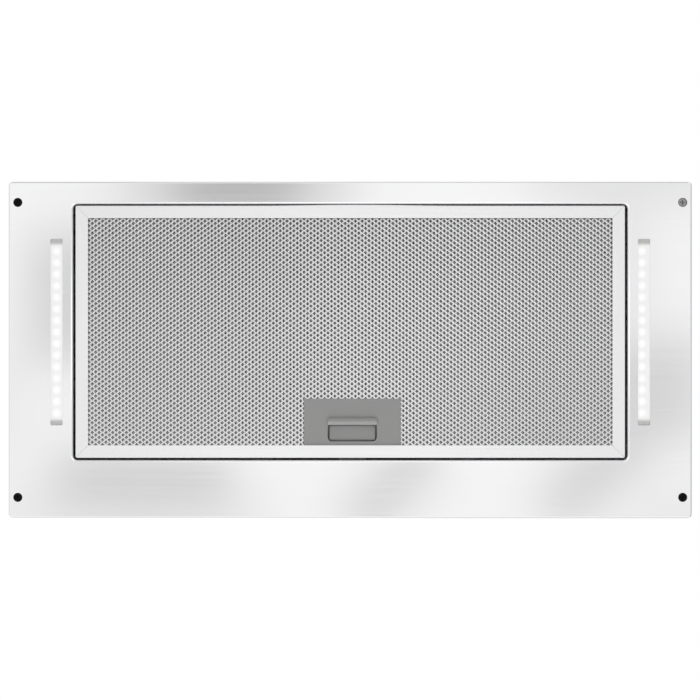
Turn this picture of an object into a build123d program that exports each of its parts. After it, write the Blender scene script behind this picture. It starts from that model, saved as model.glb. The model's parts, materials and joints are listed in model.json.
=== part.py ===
# Undermount range hood for a 600 mm wall cabinet, in millimetres.
# +Z is up, -Y is the front, and z = 0 is the cabinet's underside, which the fascia's rim meets.
import os
from math import cos, radians, sin

from build123d import *

os.makedirs("parts", exist_ok=True)

# Clearances
press_room = 0.05  # round rivets, pins and screws
running_room = 0.08  # round turning shafts
slide_room = 0.15  # round sliding pieces
seat_room = 0.25  # under pieces that rest and lift

# Filter and the fascia round it
filter_width = 482.3
filter_depth = 221.4
filter_height = 9.0
side_gap = 2.1  # filter to opening, at each end
front_gap = 1.8
rear_gap = 1.2
filter_corner = 1.6
side_band = 56.75
rear_band = 20.2
front_band = 51.4
rail_sheet = 0.8
rail_face = 11.0
rail_bend = 0.6
mitre_gap = 0.12  # between the rails' mitred ends
mesh_sheet = 0.6
layer_sheet = 0.3
layer_count = 5
net_pitch_x = 30.0  # coarse drawing of the mesh, five times its real 6.0 by 4.27 mm pitch
net_pitch_y = 21.35
net_strand = 6.0

# Fascia
fascia_sheet = 1.0
fascia_corner = 4.0
rim_height = 10.0
edge_bend = 0.8  # inside radius of every fold
opening_corner = 4.0
lip_height = 2.6
slot_width = 10.6
slot_length = 163.5
slot_corner = 1.2
slot_margin = 9.2  # from the opening to the slot

# Cabinet fixing
fixing_inset_x = 8.3
fixing_inset_y = 18.6
fixing_hole = 8.0
fixing_shank = 4.0
fixing_neck = 3.4  # plain length below the thread, inside the spacer
fixing_head = 7.6
fixing_head_sink = 0.5
fixing_head_height = 2.5
fixing_head_round = 0.8
fixing_reach = 14.0  # into the cabinet
fixing_point = 1.0
sleeve_diameter = 12.0
recess_width = 1.0
recess_length = 4.6
recess_depth = 1.3

# Casing
casing_sheet = 0.8
casing_height = 225.0
side_flange = 22.0  # fascia outside the casing, at each end
edge_flange = 10.0  # fascia outside the casing, front and rear
foot_width = 7.0
end_fold = 12.0
rivet_diameter = 3.2
rivet_head = 6.0
rivet_head_height = 1.0
rivet_tail = 4.6
rivet_tail_height = 1.6
rivets_per_edge = 3
rivet_end_margin = 24.0
stud_diameter = 3.0
stud_height = 6.0
nut_width = 5.5
nut_height = 2.4
studs_along = 4
studs_across = 3
stud_end_margin = 40.0

# LED strips
tray_width = 18.0
tray_margin = 6.0  # tray past each end of the slot
tray_wall = 1.2
tray_height = 9.0
tray_foot = 3.0
board_sheet = 1.2
chip_count = 15
chip_pitch = 10.1
chip_width = 2.8
chip_length = 3.5
chip_height = 0.9
lens_plate = 1.6
lens_sink = 0.4

# Blower
impeller_radius = 72.0
impeller_width = 100.0
blade_count = 36
blade_depth = 12.0
blade_sheet = 1.2
blade_sweep = 9.0  # degrees that a blade leans forward
ring_depth = 4.0
ring_width = 3.0
disc_sheet = 2.0
hub_radius = 12.0
hub_length = 16.0
shaft_diameter = 8.0
shaft_seat = 30.0  # of the shaft inside the motor
shaft_tip = 2.0  # past its nut
shaft_chamfer = 1.0
shaft_nut_width = 13.0
shaft_nut_height = 6.0
scroll_start = 81.0  # scroll radius at its tongue
scroll_step = 9.0  # growth in each quarter turn
scroll_wall = 2.0
scroll_width = 120.0
scroll_headroom = 1.0
tongue_angle = 70.0
blower_y = -18.0
inlet_radius = 62.0
inlet_lip = 6.0
flange_width = 14.0
flange_sheet = 3.0
lug_radius = 5.0
lug_length = 10.0
scroll_screw = 4.0
scroll_screw_head = 7.0
scroll_screw_head_height = 2.6

# Motor
motor_radius = 41.0
motor_length = 84.0
motor_standoff = 8.0
motor_edge = 5.0
bracket_sheet = 4.0
bracket_ring = 6.0
arm_count = 3
arm_width = 18.0
arm_screw_margin = 9.0  # outside the inlet
grommet_radius = 5.4
grommet_flange_radius = 7.5
grommet_flange = 1.5
bracket_screw = 4.0
bracket_screw_head = 8.0
bracket_screw_head_height = 2.6
bracket_screw_end = 3.0  # past the scroll's side wall

# Outlet
spigot_radius = 75.0
spigot_wall = 2.0
spigot_height = 52.0
base_margin = 13.0
base_sheet = 2.0
base_corner = 8.0
seal_sheet = 1.5
ledge_width = 2.5
ledge_height = 2.0
flap_sheet = 1.5
flap_room = 0.8  # round the flaps
spindle_diameter = 4.0
spindle_sink = 0.5  # its ends, below the spigot's outside
knuckle_radius = 3.0
knuckle_count = 5
knuckle_length = 22.0
knuckle_room = 0.4
flap_setback = 3.6
collar_screw = 4.0
collar_screw_head = 7.0
collar_screw_head_height = 2.6
collar_screw_x = 68.0
collar_screw_y = 50.0

# Electrics
control_width = 130.0
control_depth = 90.0
control_height = 38.0
control_wall = 2.0
control_inset = 98.0  # from the casing's right end
control_y = -60.0
post_radius = 3.0
post_height = 8.0
post_margin = 10.0
control_board_room = 3.0
control_parts_setback = 18.0  # relays and transformer, behind the board's middle
transformer_offset = 32.5  # left of the board's middle
transformer_width = 36.0
transformer_depth = 30.0
transformer_height = 20.0
relay_offset = 26.0  # right of the board's middle
relay_count = 3
relay_pitch = 20.0
relay_width = 16.0
relay_depth = 11.0
relay_height = 15.0
terminal_setback = 22.5  # in front of the board's middle
terminal_width = 50.0
terminal_depth = 16.0
terminal_height = 12.0
terminal_slope = 3.0
driver_width = 110.0
driver_depth = 42.0
driver_height = 26.0
driver_inset = 98.0  # from the casing's left end
driver_y = 60.0
driver_edge = 2.0
ear_length = 10.0
ear_sheet = 2.0
module_screw = 4.0
module_screw_head = 7.0
module_screw_head_height = 2.4
module_screw_end = 2.0  # above the casing
can_radius = 16.0
can_height = 55.0
can_edge = 2.6
can_inset = 128.0  # from the casing's left end
can_y = -80.0
can_stud = 8.0
can_stud_height = 10.0
can_nut_width = 13.0
can_nut_height = 6.5
gland_inset = 63.0  # from the casing's right end
gland_setback = 48.0  # from the casing's rear
gland_thread = 20.0
gland_bore = 10.0
gland_hex = 24.0
gland_hex_height = 6.0
gland_dome_radius = 11.0
gland_dome_height = 14.0
gland_dome_round = 2.7
gland_nut_height = 5.0

# Latch
latch_offset = -1.8
latch_width = 85.2
latch_depth = 41.0
latch_wall = 1.6
latch_cover = 1.0
window_width = 43.3
window_margin = 3.4  # from the front rail to the window
window_corner = 4.0
grip_depth = 14.4
grip_side_gap = 1.7
grip_front_gap = 1.5
grip_rear_gap = 0.8
grip_sink = 1.4
grip_groove = 2.4
ridge_depth = 7.0
ridge_height = 1.6
ridge_round = 0.8
ridge_toe = 0.4
neck_depth = 1.6
slider_width = 50.0
slider_depth = 26.0  # behind the front rail
bolt_width = 24.0
bolt_thickness = 2.5
bolt_engagement = 2.5
bolt_margin = 0.5
bolt_nose = 0.8
spring_radius = 1.9
spring_wall = 0.6
spring_spacing = 30.0

# Rear hook
hook_width = 450.0
hook_sheet = 1.0
hook_overlap = 9.0
hook_reach = 4.0  # pivot behind the opening's edge
bead_radius = 1.2

# Places worked out from the sizes above
opening_width = filter_width + 2 * side_gap
opening_depth = filter_depth + front_gap + rear_gap
fascia_width = opening_width + 2 * side_band
fascia_depth = opening_depth + front_band + rear_band
opening_y = (front_band - rear_band) / 2
opening_front = opening_y - opening_depth / 2
opening_rear = opening_y + opening_depth / 2
filter_front = opening_front + front_gap
filter_rear = opening_rear - rear_gap
filter_y = (filter_front + filter_rear) / 2
mitre_trim = mitre_gap * cos(radians(45))  # along each rail, at each end
face_z = -rim_height
back_z = face_z + fascia_sheet
outer_bend = edge_bend + fascia_sheet
slot_x = opening_width / 2 + slot_margin + slot_width / 2
fixing_x = fascia_width / 2 - fixing_inset_x
fixing_y = fascia_depth / 2 - fixing_inset_y
casing_width = fascia_width - 2 * side_flange
casing_depth = fascia_depth - 2 * edge_flange
control_x = casing_width / 2 - control_inset
driver_x = driver_inset - casing_width / 2
can_x = can_inset - casing_width / 2
gland_x = casing_width / 2 - gland_inset
gland_y = casing_depth / 2 - gland_setback
inner_top = casing_height - casing_sheet
blower_z = inner_top - scroll_headroom - scroll_wall - scroll_start
scroll_outer = scroll_start + 3 * scroll_step
tongue_y = scroll_start * cos(radians(tongue_angle)) - scroll_step
tongue_z = scroll_start * sin(radians(tongue_angle))
duct_depth = scroll_outer - tongue_y
outlet_y = blower_y + (scroll_outer + tongue_y) / 2
scroll_side = scroll_width / 2 + scroll_wall
blower = Plane(origin=(0, blower_y, blower_z), x_dir=(0, 1, 0), z_dir=(1, 0, 0))
base_z = casing_height + seal_sheet
ledge_z = base_z + base_sheet + ledge_height
spindle_z = ledge_z + seat_room + knuckle_radius
flap_radius = spigot_radius - spigot_wall - flap_room
pack_height = filter_height - 2 * rail_sheet
pack_width = filter_width - 2 * rail_sheet - 2 * press_room
pack_depth = filter_depth - 2 * rail_sheet - 2 * press_room
pack_z = face_z + rail_sheet
rail_edge = filter_front + rail_face
window_half_x = filter_width / 2 - rail_face
window_half_y = filter_depth / 2 - rail_face
housing_front = filter_front + rail_sheet + press_room
housing_rear = rail_edge + latch_depth
housing_y = (housing_front + housing_rear) / 2
cavity_front = housing_front + latch_wall
cavity_z = pack_z + latch_wall
cover_z = pack_z + pack_height - latch_cover
window_front = rail_edge + window_margin
bolt_travel = bolt_engagement + front_gap + bolt_margin
window_depth = grip_depth + neck_depth + bolt_travel + slide_room
slider_rear = rail_edge + slider_depth
bolt_z = face_z + lip_height + seat_room
bolt_tip = opening_front - bolt_engagement
bolt_hole_width = bolt_width + 2 * slide_room
bolt_hole_height = bolt_thickness + 2 * slide_room
pivot_y = opening_rear + hook_reach
pivot_z = back_z + seat_room + bead_radius
sides = {"left": -1, "right": 1}
faces = {"front": -1, "rear": 1}


def keep(builder, name):
    """Label a finished piece and write it."""
    builder.part.label = name
    export_step(builder.part, f"parts/{name}.step")


def spread(count, length):
    """Evenly spaced places along a length, about its middle."""
    return [length * (i / (count - 1) - 0.5) for i in range(count)]


# Fascia: a shallow pan, its rim folded up, with the lip of the opening rolled up too
with BuildPart() as fascia_panel:
    with BuildSketch(Plane.XY.offset(face_z)):
        RectangleRounded(fascia_width, fascia_depth, fascia_corner)
    extrude(amount=rim_height)
    fillet(fascia_panel.faces().sort_by(Axis.Z)[0].edges(), outer_bend)
    with BuildSketch(Plane.XY.offset(back_z)):
        RectangleRounded(
            fascia_width - 2 * fascia_sheet, fascia_depth - 2 * fascia_sheet, fascia_corner - fascia_sheet
        )
    extrude(amount=rim_height, mode=Mode.SUBTRACT)
    fillet(fascia_panel.faces().filter_by(Axis.Z).sort_by(Axis.Z)[1].edges(), edge_bend)
    with BuildSketch(Plane.XY.offset(face_z)):
        with Locations((0, opening_y)):
            RectangleRounded(
                opening_width + 2 * fascia_sheet,
                opening_depth + 2 * fascia_sheet,
                opening_corner + fascia_sheet,
            )
    extrude(amount=lip_height)
    with BuildSketch(Plane.XY.offset(face_z)):
        with Locations((0, opening_y)):
            RectangleRounded(opening_width, opening_depth, opening_corner)
    extrude(amount=lip_height, mode=Mode.SUBTRACT)
    fillet(fascia_panel.faces().sort_by(Axis.Z)[0].inner_wires()[0].edges(), outer_bend)
    with BuildSketch(Plane.XY.offset(face_z)):
        with Locations((slot_x, opening_y), (-slot_x, opening_y)):
            RectangleRounded(slot_width, slot_length, slot_corner)
        with GridLocations(2 * fixing_x, 2 * fixing_y, 2, 2):
            Circle(fixing_hole / 2)
    extrude(amount=fascia_sheet, mode=Mode.SUBTRACT)
keep(fascia_panel, "fascia_panel")

# Spacers that carry the fixing screws up to the cabinet
with BuildPart() as fixing_sleeves:
    with BuildSketch(Plane.XY.offset(back_z)):
        with GridLocations(2 * fixing_x, 2 * fixing_y, 2, 2):
            Circle(sleeve_diameter / 2)
            Circle(fixing_shank / 2 + press_room, mode=Mode.SUBTRACT)
    extrude(amount=-back_z)
    with BuildSketch(Plane.XY.offset(back_z)):
        with GridLocations(2 * fixing_x, 2 * fixing_y, 2, 2):
            Circle(fixing_head / 2 + press_room)
    extrude(amount=fixing_head_height + fixing_head_sink - fascia_sheet, mode=Mode.SUBTRACT)
keep(fixing_sleeves, "fixing_sleeves")

# Cabinet screws: pan heads with a cross recess, sunk just below the face
with BuildPart() as fixing_screws:
    with BuildSketch(Plane.XY.offset(face_z + fixing_head_sink)):
        with GridLocations(2 * fixing_x, 2 * fixing_y, 2, 2):
            Circle(fixing_head / 2)
    extrude(amount=fixing_head_height)
    fillet(fixing_screws.edges().group_by(Axis.Z)[0], fixing_head_round)
    with BuildSketch(Plane.XY.offset(face_z + fixing_head_sink)):
        with GridLocations(2 * fixing_x, 2 * fixing_y, 2, 2):
            Circle(fixing_neck / 2)
    extrude(amount=rim_height - fixing_head_sink)
    with BuildSketch(Plane.XY):
        with GridLocations(2 * fixing_x, 2 * fixing_y, 2, 2):
            Circle(fixing_shank / 2)
    extrude(amount=fixing_reach)
    chamfer(fixing_screws.edges().group_by(Axis.Z)[-1], fixing_point)
    with BuildSketch(Plane.XY.offset(face_z + fixing_head_sink)):
        with GridLocations(2 * fixing_x, 2 * fixing_y, 2, 2):
            Rectangle(recess_length, recess_width)
            Rectangle(recess_width, recess_length)
    extrude(amount=recess_depth, mode=Mode.SUBTRACT)
keep(fixing_screws, "fixing_screws")

# Places of the rivets, studs and holes in the casing
rivet_x = casing_width / 2 - casing_sheet - end_fold / 2
rivet_run = casing_height - back_z - 2 * rivet_end_margin
rivet_heights = [(casing_height + back_z) / 2 + z for z in spread(rivets_per_edge, rivet_run)]
rivet_depths = spread(rivets_per_edge, casing_depth - 2 * rivet_end_margin)
wall_rivet_planes = [
    Plane(origin=(side * rivet_x, face * casing_depth / 2, z), z_dir=(0, face, 0))
    for side in (-1, 1)
    for face in (-1, 1)
    for z in rivet_heights
]
top_rivet_planes = [
    Plane(origin=(side * rivet_x, y, casing_height), z_dir=(0, 0, 1))
    for side in (-1, 1)
    for y in rivet_depths
]
seam_length = casing_width - 2 * casing_sheet - 2 * end_fold - 2 * seat_room
seam_rivet_planes = [
    Plane(origin=(x, face * casing_depth / 2, inner_top - end_fold / 2), z_dir=(0, face, 0))
    for face in (-1, 1)
    for x in spread(rivets_per_edge, seam_length - 2 * rivet_end_margin)
]
stud_rows = [
    (x, face * (casing_depth + foot_width) / 2)
    for face in (-1, 1)
    for x in spread(studs_along, casing_width - 2 * stud_end_margin)
]
stud_columns = [
    (side * (casing_width + foot_width) / 2, y)
    for side in (-1, 1)
    for y in spread(studs_across, casing_depth - 2 * stud_end_margin)
]
collar_screw_places = [
    (x, outlet_y + y) for x in (-collar_screw_x, collar_screw_x) for y in (-collar_screw_y, collar_screw_y)
]
control_screw_places = [
    (control_x + end * (control_width + ear_length) / 2, control_y) for end in (-1, 1)
]
driver_screw_places = [
    (driver_x + end * (driver_width + ear_length) / 2, driver_y) for end in (-1, 1)
]
module_screw_places = control_screw_places + driver_screw_places


def casing_wall(face):
    """Front or rear wall, with a foot folded out along its lower edge."""
    with BuildPart() as wall:
        with BuildSketch(Plane.YZ):
            with Locations((face * (casing_depth - casing_sheet) / 2, back_z)):
                Rectangle(casing_sheet, casing_height - back_z, align=(Align.CENTER, Align.MIN))
            with Locations((face * (casing_depth + foot_width) / 2, back_z)):
                Rectangle(foot_width, casing_sheet, align=(Align.CENTER, Align.MIN))
        extrude(amount=casing_width / 2 - casing_sheet, both=True)
        with Locations(*wall_rivet_planes, *seam_rivet_planes):
            Cylinder(rivet_diameter / 2 + press_room, 2 * casing_sheet, mode=Mode.SUBTRACT)
        with Locations(*[(x, y, back_z) for x, y in stud_rows]):
            Cylinder(stud_diameter / 2 + press_room, 2 * casing_sheet, mode=Mode.SUBTRACT)
    return wall


for name, face in faces.items():
    keep(casing_wall(face), f"casing_{name}")

# Casing top: a deck between the walls, its front and rear edges folded down inside them
with BuildPart() as casing_top:
    with BuildSketch(Plane.XY.offset(inner_top)):
        Rectangle(casing_width - 2 * casing_sheet, casing_depth - 2 * casing_sheet)
    extrude(amount=casing_sheet)
    with BuildSketch(Plane.XY.offset(inner_top)):
        with GridLocations(0, casing_depth - 3 * casing_sheet, 1, 2):
            Rectangle(seam_length, casing_sheet)
    extrude(amount=-end_fold)
    with BuildSketch(Plane.XY.offset(inner_top)):
        with Locations((0, outlet_y)):
            RectangleRounded(scroll_width, duct_depth, base_corner)
        with Locations(*collar_screw_places):
            Circle(collar_screw / 2 + press_room)
        with Locations(*module_screw_places):
            Circle(module_screw / 2 + press_room)
        with Locations((can_x, can_y)):
            Circle(can_stud / 2 + press_room)
        with Locations((gland_x, gland_y)):
            Circle(gland_thread / 2 + press_room)
    extrude(amount=casing_sheet, mode=Mode.SUBTRACT)
    with Locations(*top_rivet_planes, *seam_rivet_planes):
        Cylinder(rivet_diameter / 2 + press_room, 6 * casing_sheet, mode=Mode.SUBTRACT)
keep(casing_top, "casing_top")


def casing_end(side):
    """End panel: a plate with its edges folded in under the walls and top, and a foot folded out."""
    outer = side * casing_width / 2
    with BuildPart() as end:
        with BuildSketch(Plane.YZ.offset(outer)):
            with Locations((0, back_z)):
                Rectangle(casing_depth, casing_height - back_z, align=(Align.CENTER, Align.MIN))
        extrude(amount=-side * casing_sheet)
        with BuildSketch(Plane.YZ.offset(outer - side * casing_sheet)):
            with Locations((0, back_z)):
                Rectangle(
                    casing_depth - 2 * casing_sheet,
                    inner_top - back_z,
                    align=(Align.CENTER, Align.MIN),
                )
                Rectangle(
                    casing_depth - 4 * casing_sheet,
                    inner_top - casing_sheet - back_z,
                    align=(Align.CENTER, Align.MIN),
                    mode=Mode.SUBTRACT,
                )
        extrude(amount=-side * end_fold)
        with BuildSketch(Plane.XY.offset(back_z)):
            with Locations((outer + side * foot_width / 2, 0)):
                Rectangle(foot_width, casing_depth)
        extrude(amount=casing_sheet)
        with Locations(*wall_rivet_planes, *top_rivet_planes):
            Cylinder(rivet_diameter / 2 + press_room, 6 * casing_sheet, mode=Mode.SUBTRACT)
        with Locations(*[(x, y, back_z) for x, y in stud_columns]):
            Cylinder(stud_diameter / 2 + press_room, 2 * casing_sheet, mode=Mode.SUBTRACT)
    return end


for name, side in sides.items():
    keep(casing_end(side), f"casing_end_{name}")

# Blind rivets: a domed head outside, the set tail inside
rivet_grip = 2 * casing_sheet
with BuildPart() as casing_rivets:
    with Locations(*wall_rivet_planes, *top_rivet_planes, *seam_rivet_planes):
        with Locations((0, 0, -rivet_grip)):
            Cylinder(rivet_diameter / 2, rivet_grip, align=(Align.CENTER, Align.CENTER, Align.MIN))
        Cylinder(rivet_head / 2, rivet_head_height, align=(Align.CENTER, Align.CENTER, Align.MIN))
        with Locations((0, 0, -rivet_grip)):
            Cylinder(rivet_tail / 2, rivet_tail_height, align=(Align.CENTER, Align.CENTER, Align.MAX))
keep(casing_rivets, "casing_rivets")

# Weld studs on the back of the fascia and the nuts that clamp the casing's feet
with BuildPart() as fascia_studs:
    with BuildSketch(Plane.XY.offset(back_z)):
        with Locations(*stud_rows, *stud_columns):
            Circle(stud_diameter / 2)
    extrude(amount=stud_height)
keep(fascia_studs, "fascia_studs")

with BuildPart() as fascia_nuts:
    with BuildSketch(Plane.XY.offset(back_z + casing_sheet)):
        with Locations(*stud_rows, *stud_columns):
            RegularPolygon(nut_width / 2, 6, major_radius=False)
            Circle(stud_diameter / 2 + press_room, mode=Mode.SUBTRACT)
    extrude(amount=nut_height)
keep(fascia_nuts, "fascia_nuts")


def led_tray(side):
    """Channel over the slot, open below, with a foot along each side."""
    length = slot_length + 2 * tray_margin
    with BuildPart() as tray:
        with BuildSketch(Plane.XY.offset(back_z)):
            with Locations((side * slot_x, opening_y)):
                Rectangle(tray_width + 2 * tray_foot, length)
        extrude(amount=tray_wall)
        with BuildSketch(Plane.XY.offset(back_z)):
            with Locations((side * slot_x, opening_y)):
                Rectangle(tray_width, length)
        extrude(amount=tray_height)
        with BuildSketch(Plane.XY.offset(back_z)):
            with Locations((side * slot_x, opening_y)):
                Rectangle(tray_width - 2 * tray_wall, length - 2 * tray_wall)
        extrude(amount=tray_height - tray_wall, mode=Mode.SUBTRACT)
    return tray


board_z = back_z + tray_height - tray_wall - board_sheet
board_width = tray_width - 2 * tray_wall - 2 * press_room
board_length = slot_length + 2 * tray_margin - 2 * tray_wall - 2 * press_room
chip_places = [opening_y + y for y in spread(chip_count, (chip_count - 1) * chip_pitch)]


def led_board(side):
    """Strip of circuit board under the roof of its tray."""
    with BuildPart() as board:
        with BuildSketch(Plane.XY.offset(board_z)):
            with Locations((side * slot_x, opening_y)):
                Rectangle(board_width, board_length)
        extrude(amount=board_sheet)
    return board


def led_chips(side):
    """Row of light-emitting chips on the board."""
    with BuildPart() as chips:
        with BuildSketch(Plane.XY.offset(board_z)):
            with Locations(*[(side * slot_x, y) for y in chip_places]):
                Rectangle(chip_width, chip_length)
        extrude(amount=-chip_height)
    return chips


def led_lens(side):
    """Clear cover that fills the slot from behind."""
    with BuildPart() as lens:
        with BuildSketch(Plane.XY.offset(back_z)):
            with Locations((side * slot_x, opening_y)):
                Rectangle(board_width, board_length)
        extrude(amount=lens_plate)
        with BuildSketch(Plane.XY.offset(back_z)):
            with Locations((side * slot_x, opening_y)):
                RectangleRounded(
                    slot_width - 2 * press_room, slot_length - 2 * press_room, slot_corner - press_room
                )
        extrude(amount=lens_sink - fascia_sheet)
    return lens


for name, side in sides.items():
    keep(led_tray(side), f"led_tray_{name}")
    keep(led_board(side), f"led_board_{name}")
    keep(led_chips(side), f"led_chips_{name}")
    keep(led_lens(side), f"led_lens_{name}")

# Lugs of the scroll, outside its three lower quarters: centre of the quarter's arc, its radius, its angle
scroll_lugs = [
    ((0, 0), scroll_outer, -45),
    ((0, -scroll_step), scroll_outer - scroll_step, -135),
    ((-scroll_step, -scroll_step), scroll_outer - 2 * scroll_step, 135),
]
lug_offset = scroll_wall + scroll_screw_head / 2 + seat_room
lug_places = [
    (y + (radius + lug_offset) * cos(radians(angle)), z + (radius + lug_offset) * sin(radians(angle)))
    for (y, z), radius, angle in scroll_lugs
]
duct_top = inner_top - blower_z


def scroll_outline(grown):
    """Inside of the scroll, four growing quarters and the duct up to the top, grown by a wall."""
    with BuildSketch(mode=Mode.PRIVATE) as outline:
        with BuildLine():
            CenterArc((0, 0), scroll_outer, 0, -90)
            CenterArc((0, -scroll_step), scroll_outer - scroll_step, -90, -90)
            CenterArc((-scroll_step, -scroll_step), scroll_outer - 2 * scroll_step, 180, -90)
            CenterArc((-scroll_step, 0), scroll_start, 90, tongue_angle - 90)
            Polyline(
                (tongue_y, tongue_z),
                (tongue_y, duct_top + grown),
                (scroll_outer, duct_top + grown),
                (scroll_outer, 0),
            )
        make_face()
        if grown:
            offset(amount=grown)
    return outline.sketch


def scroll_half(side):
    """Half of the scroll: wall, side with its inlet, flange at the duct's top and closing lugs."""
    with BuildPart() as half:
        with BuildSketch(blower):
            add(scroll_outline(scroll_wall))
            add(scroll_outline(0), mode=Mode.SUBTRACT)
        extrude(amount=side * scroll_side)
        with BuildSketch(blower.offset(side * scroll_width / 2)):
            add(scroll_outline(scroll_wall))
            Circle(inlet_radius, mode=Mode.SUBTRACT)
        extrude(amount=side * scroll_wall)
        with BuildSketch(blower.offset(side * scroll_width / 2)):
            Circle(inlet_radius + scroll_wall)
            Circle(inlet_radius, mode=Mode.SUBTRACT)
        extrude(amount=-side * inlet_lip)
        with BuildSketch(blower):
            with Locations(*lug_places):
                Circle(lug_radius)
            add(scroll_outline(0), mode=Mode.SUBTRACT)
        extrude(amount=side * lug_length)
        with BuildSketch(Plane.XY.offset(inner_top)):
            with Locations((side * (scroll_side + flange_width) / 2, outlet_y)):
                Rectangle(scroll_side + flange_width, duct_depth + 2 * scroll_wall + 2 * flange_width)
        extrude(amount=-flange_sheet)
        with BuildSketch(Plane.XY.offset(inner_top)):
            with Locations((side * scroll_width / 4, outlet_y)):
                Rectangle(scroll_width / 2, duct_depth)
        extrude(amount=-flange_sheet, mode=Mode.SUBTRACT)
        with BuildSketch(Plane.XY.offset(inner_top)):
            Rectangle(3 * scroll_side, 6 * scroll_outer)
        extrude(amount=scroll_outer, mode=Mode.SUBTRACT)
        with BuildSketch(blower):
            with Locations(*lug_places):
                Circle(scroll_screw / 2 + press_room)
        extrude(amount=side * lug_length, mode=Mode.SUBTRACT)
        with BuildSketch(Plane.XY.offset(inner_top)):
            with Locations(*collar_screw_places):
                Circle(collar_screw / 2 + press_room)
        extrude(amount=-flange_sheet, mode=Mode.SUBTRACT)
        with BuildSketch(blower.offset(side * scroll_side)):
            with PolarLocations(inlet_radius + arm_screw_margin, arm_count):
                Circle(bracket_screw / 2 + press_room)
        extrude(amount=-side * scroll_wall, mode=Mode.SUBTRACT)
    return half


for name, side in sides.items():
    keep(scroll_half(side), f"scroll_half_{name}")

# Screws that close the scroll, along X through its lugs
with BuildPart() as scroll_screws:
    with BuildSketch(blower.offset(-lug_length)):
        with Locations(*lug_places):
            Circle(scroll_screw / 2)
    extrude(amount=2 * lug_length)
    with BuildSketch(blower.offset(lug_length)):
        with Locations(*lug_places):
            Circle(scroll_screw_head / 2)
    extrude(amount=scroll_screw_head_height)
keep(scroll_screws, "scroll_screws")

# Impeller: forward-curved blades between two end rings, on a middle disc with a hub
blade_inner = impeller_radius - blade_depth
blade_middle = impeller_radius - blade_depth / 2
blade_root = (blade_inner, 0)
blade_belly = (blade_middle * cos(radians(blade_sweep / 3)), blade_middle * sin(radians(blade_sweep / 3)))
blade_tip = (
    (impeller_radius - blade_sheet) * cos(radians(blade_sweep)),
    (impeller_radius - blade_sheet) * sin(radians(blade_sweep)),
)
blade_line = ThreePointArc(blade_root, blade_belly, blade_tip)
with BuildPart() as impeller:
    with BuildSketch(blower):
        Circle(blade_middle)
    extrude(amount=disc_sheet / 2, both=True)
    with BuildSketch(blower):
        Circle(hub_radius)
    extrude(amount=hub_length)
    for end in (-1, 1):
        with BuildSketch(blower.offset(end * impeller_width / 2)):
            Circle(impeller_radius)
            Circle(impeller_radius - ring_depth, mode=Mode.SUBTRACT)
        extrude(amount=-end * ring_width)
    with BuildSketch(blower):
        with PolarLocations(0, blade_count):
            SlotArc(blade_line, blade_sheet)
    extrude(amount=impeller_width / 2, both=True)
    with BuildSketch(blower):
        Circle(shaft_diameter / 2 + press_room)
    extrude(amount=impeller_width, both=True, mode=Mode.SUBTRACT)
keep(impeller, "impeller")

# Motor shaft, from inside the motor to past the nut
shaft_end = hub_length + shaft_nut_height + shaft_tip
with BuildPart() as motor_shaft:
    with BuildSketch(blower.offset(-motor_standoff - shaft_seat)):
        Circle(shaft_diameter / 2)
    extrude(amount=motor_standoff + shaft_seat + shaft_end)
    chamfer(motor_shaft.edges().group_by(Axis.X)[-1], shaft_chamfer)
keep(motor_shaft, "motor_shaft")

with BuildPart() as impeller_nut:
    with BuildSketch(blower.offset(hub_length)):
        RegularPolygon(shaft_nut_width / 2, 6, major_radius=False)
        Circle(shaft_diameter / 2 + press_room, mode=Mode.SUBTRACT)
    extrude(amount=shaft_nut_height)
keep(impeller_nut, "impeller_nut")

# Motor can, inside the left half of the impeller
with BuildPart() as motor_body:
    with BuildSketch(blower.offset(-motor_standoff)):
        Circle(motor_radius)
    extrude(amount=-motor_length)
    fillet(motor_body.edges().filter_by(GeomType.CIRCLE), motor_edge)
    with BuildSketch(blower.offset(-motor_standoff)):
        Circle(shaft_diameter / 2 + running_room)
    extrude(amount=-shaft_seat - seat_room, mode=Mode.SUBTRACT)
keep(motor_body, "motor_body")

# Motor bracket: a ring with arms across the left inlet
arm_place = inlet_radius + arm_screw_margin
with BuildPart() as motor_bracket:
    with BuildSketch(blower.offset(-scroll_side)):
        with PolarLocations(arm_place / 2, arm_count):
            Rectangle(arm_place, arm_width)
        with PolarLocations(arm_place, arm_count):
            Circle(arm_width / 2)
        Circle(motor_radius + bracket_ring)
        Circle(motor_radius + press_room, mode=Mode.SUBTRACT)
        with PolarLocations(arm_place, arm_count):
            Circle(grommet_radius + press_room, mode=Mode.SUBTRACT)
    extrude(amount=-bracket_sheet)
keep(motor_bracket, "motor_bracket")

with BuildPart() as motor_grommets:
    with BuildSketch(blower.offset(-scroll_side)):
        with PolarLocations(arm_place, arm_count):
            Circle(grommet_radius)
    extrude(amount=-bracket_sheet)
    with BuildSketch(blower.offset(-scroll_side - bracket_sheet)):
        with PolarLocations(arm_place, arm_count):
            Circle(grommet_flange_radius)
    extrude(amount=-grommet_flange)
    with BuildSketch(blower.offset(-scroll_side)):
        with PolarLocations(arm_place, arm_count):
            Circle(bracket_screw / 2 + press_room)
    extrude(amount=-bracket_sheet - grommet_flange, mode=Mode.SUBTRACT)
keep(motor_grommets, "motor_grommets")

with BuildPart() as bracket_screws:
    with BuildSketch(blower.offset(-scroll_side - bracket_sheet - grommet_flange)):
        with PolarLocations(arm_place, arm_count):
            Circle(bracket_screw_head / 2)
    extrude(amount=-bracket_screw_head_height)
    with BuildSketch(blower.offset(-scroll_side - bracket_sheet - grommet_flange)):
        with PolarLocations(arm_place, arm_count):
            Circle(bracket_screw / 2)
    extrude(amount=bracket_sheet + grommet_flange + scroll_wall + bracket_screw_end)
keep(bracket_screws, "bracket_screws")

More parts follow.
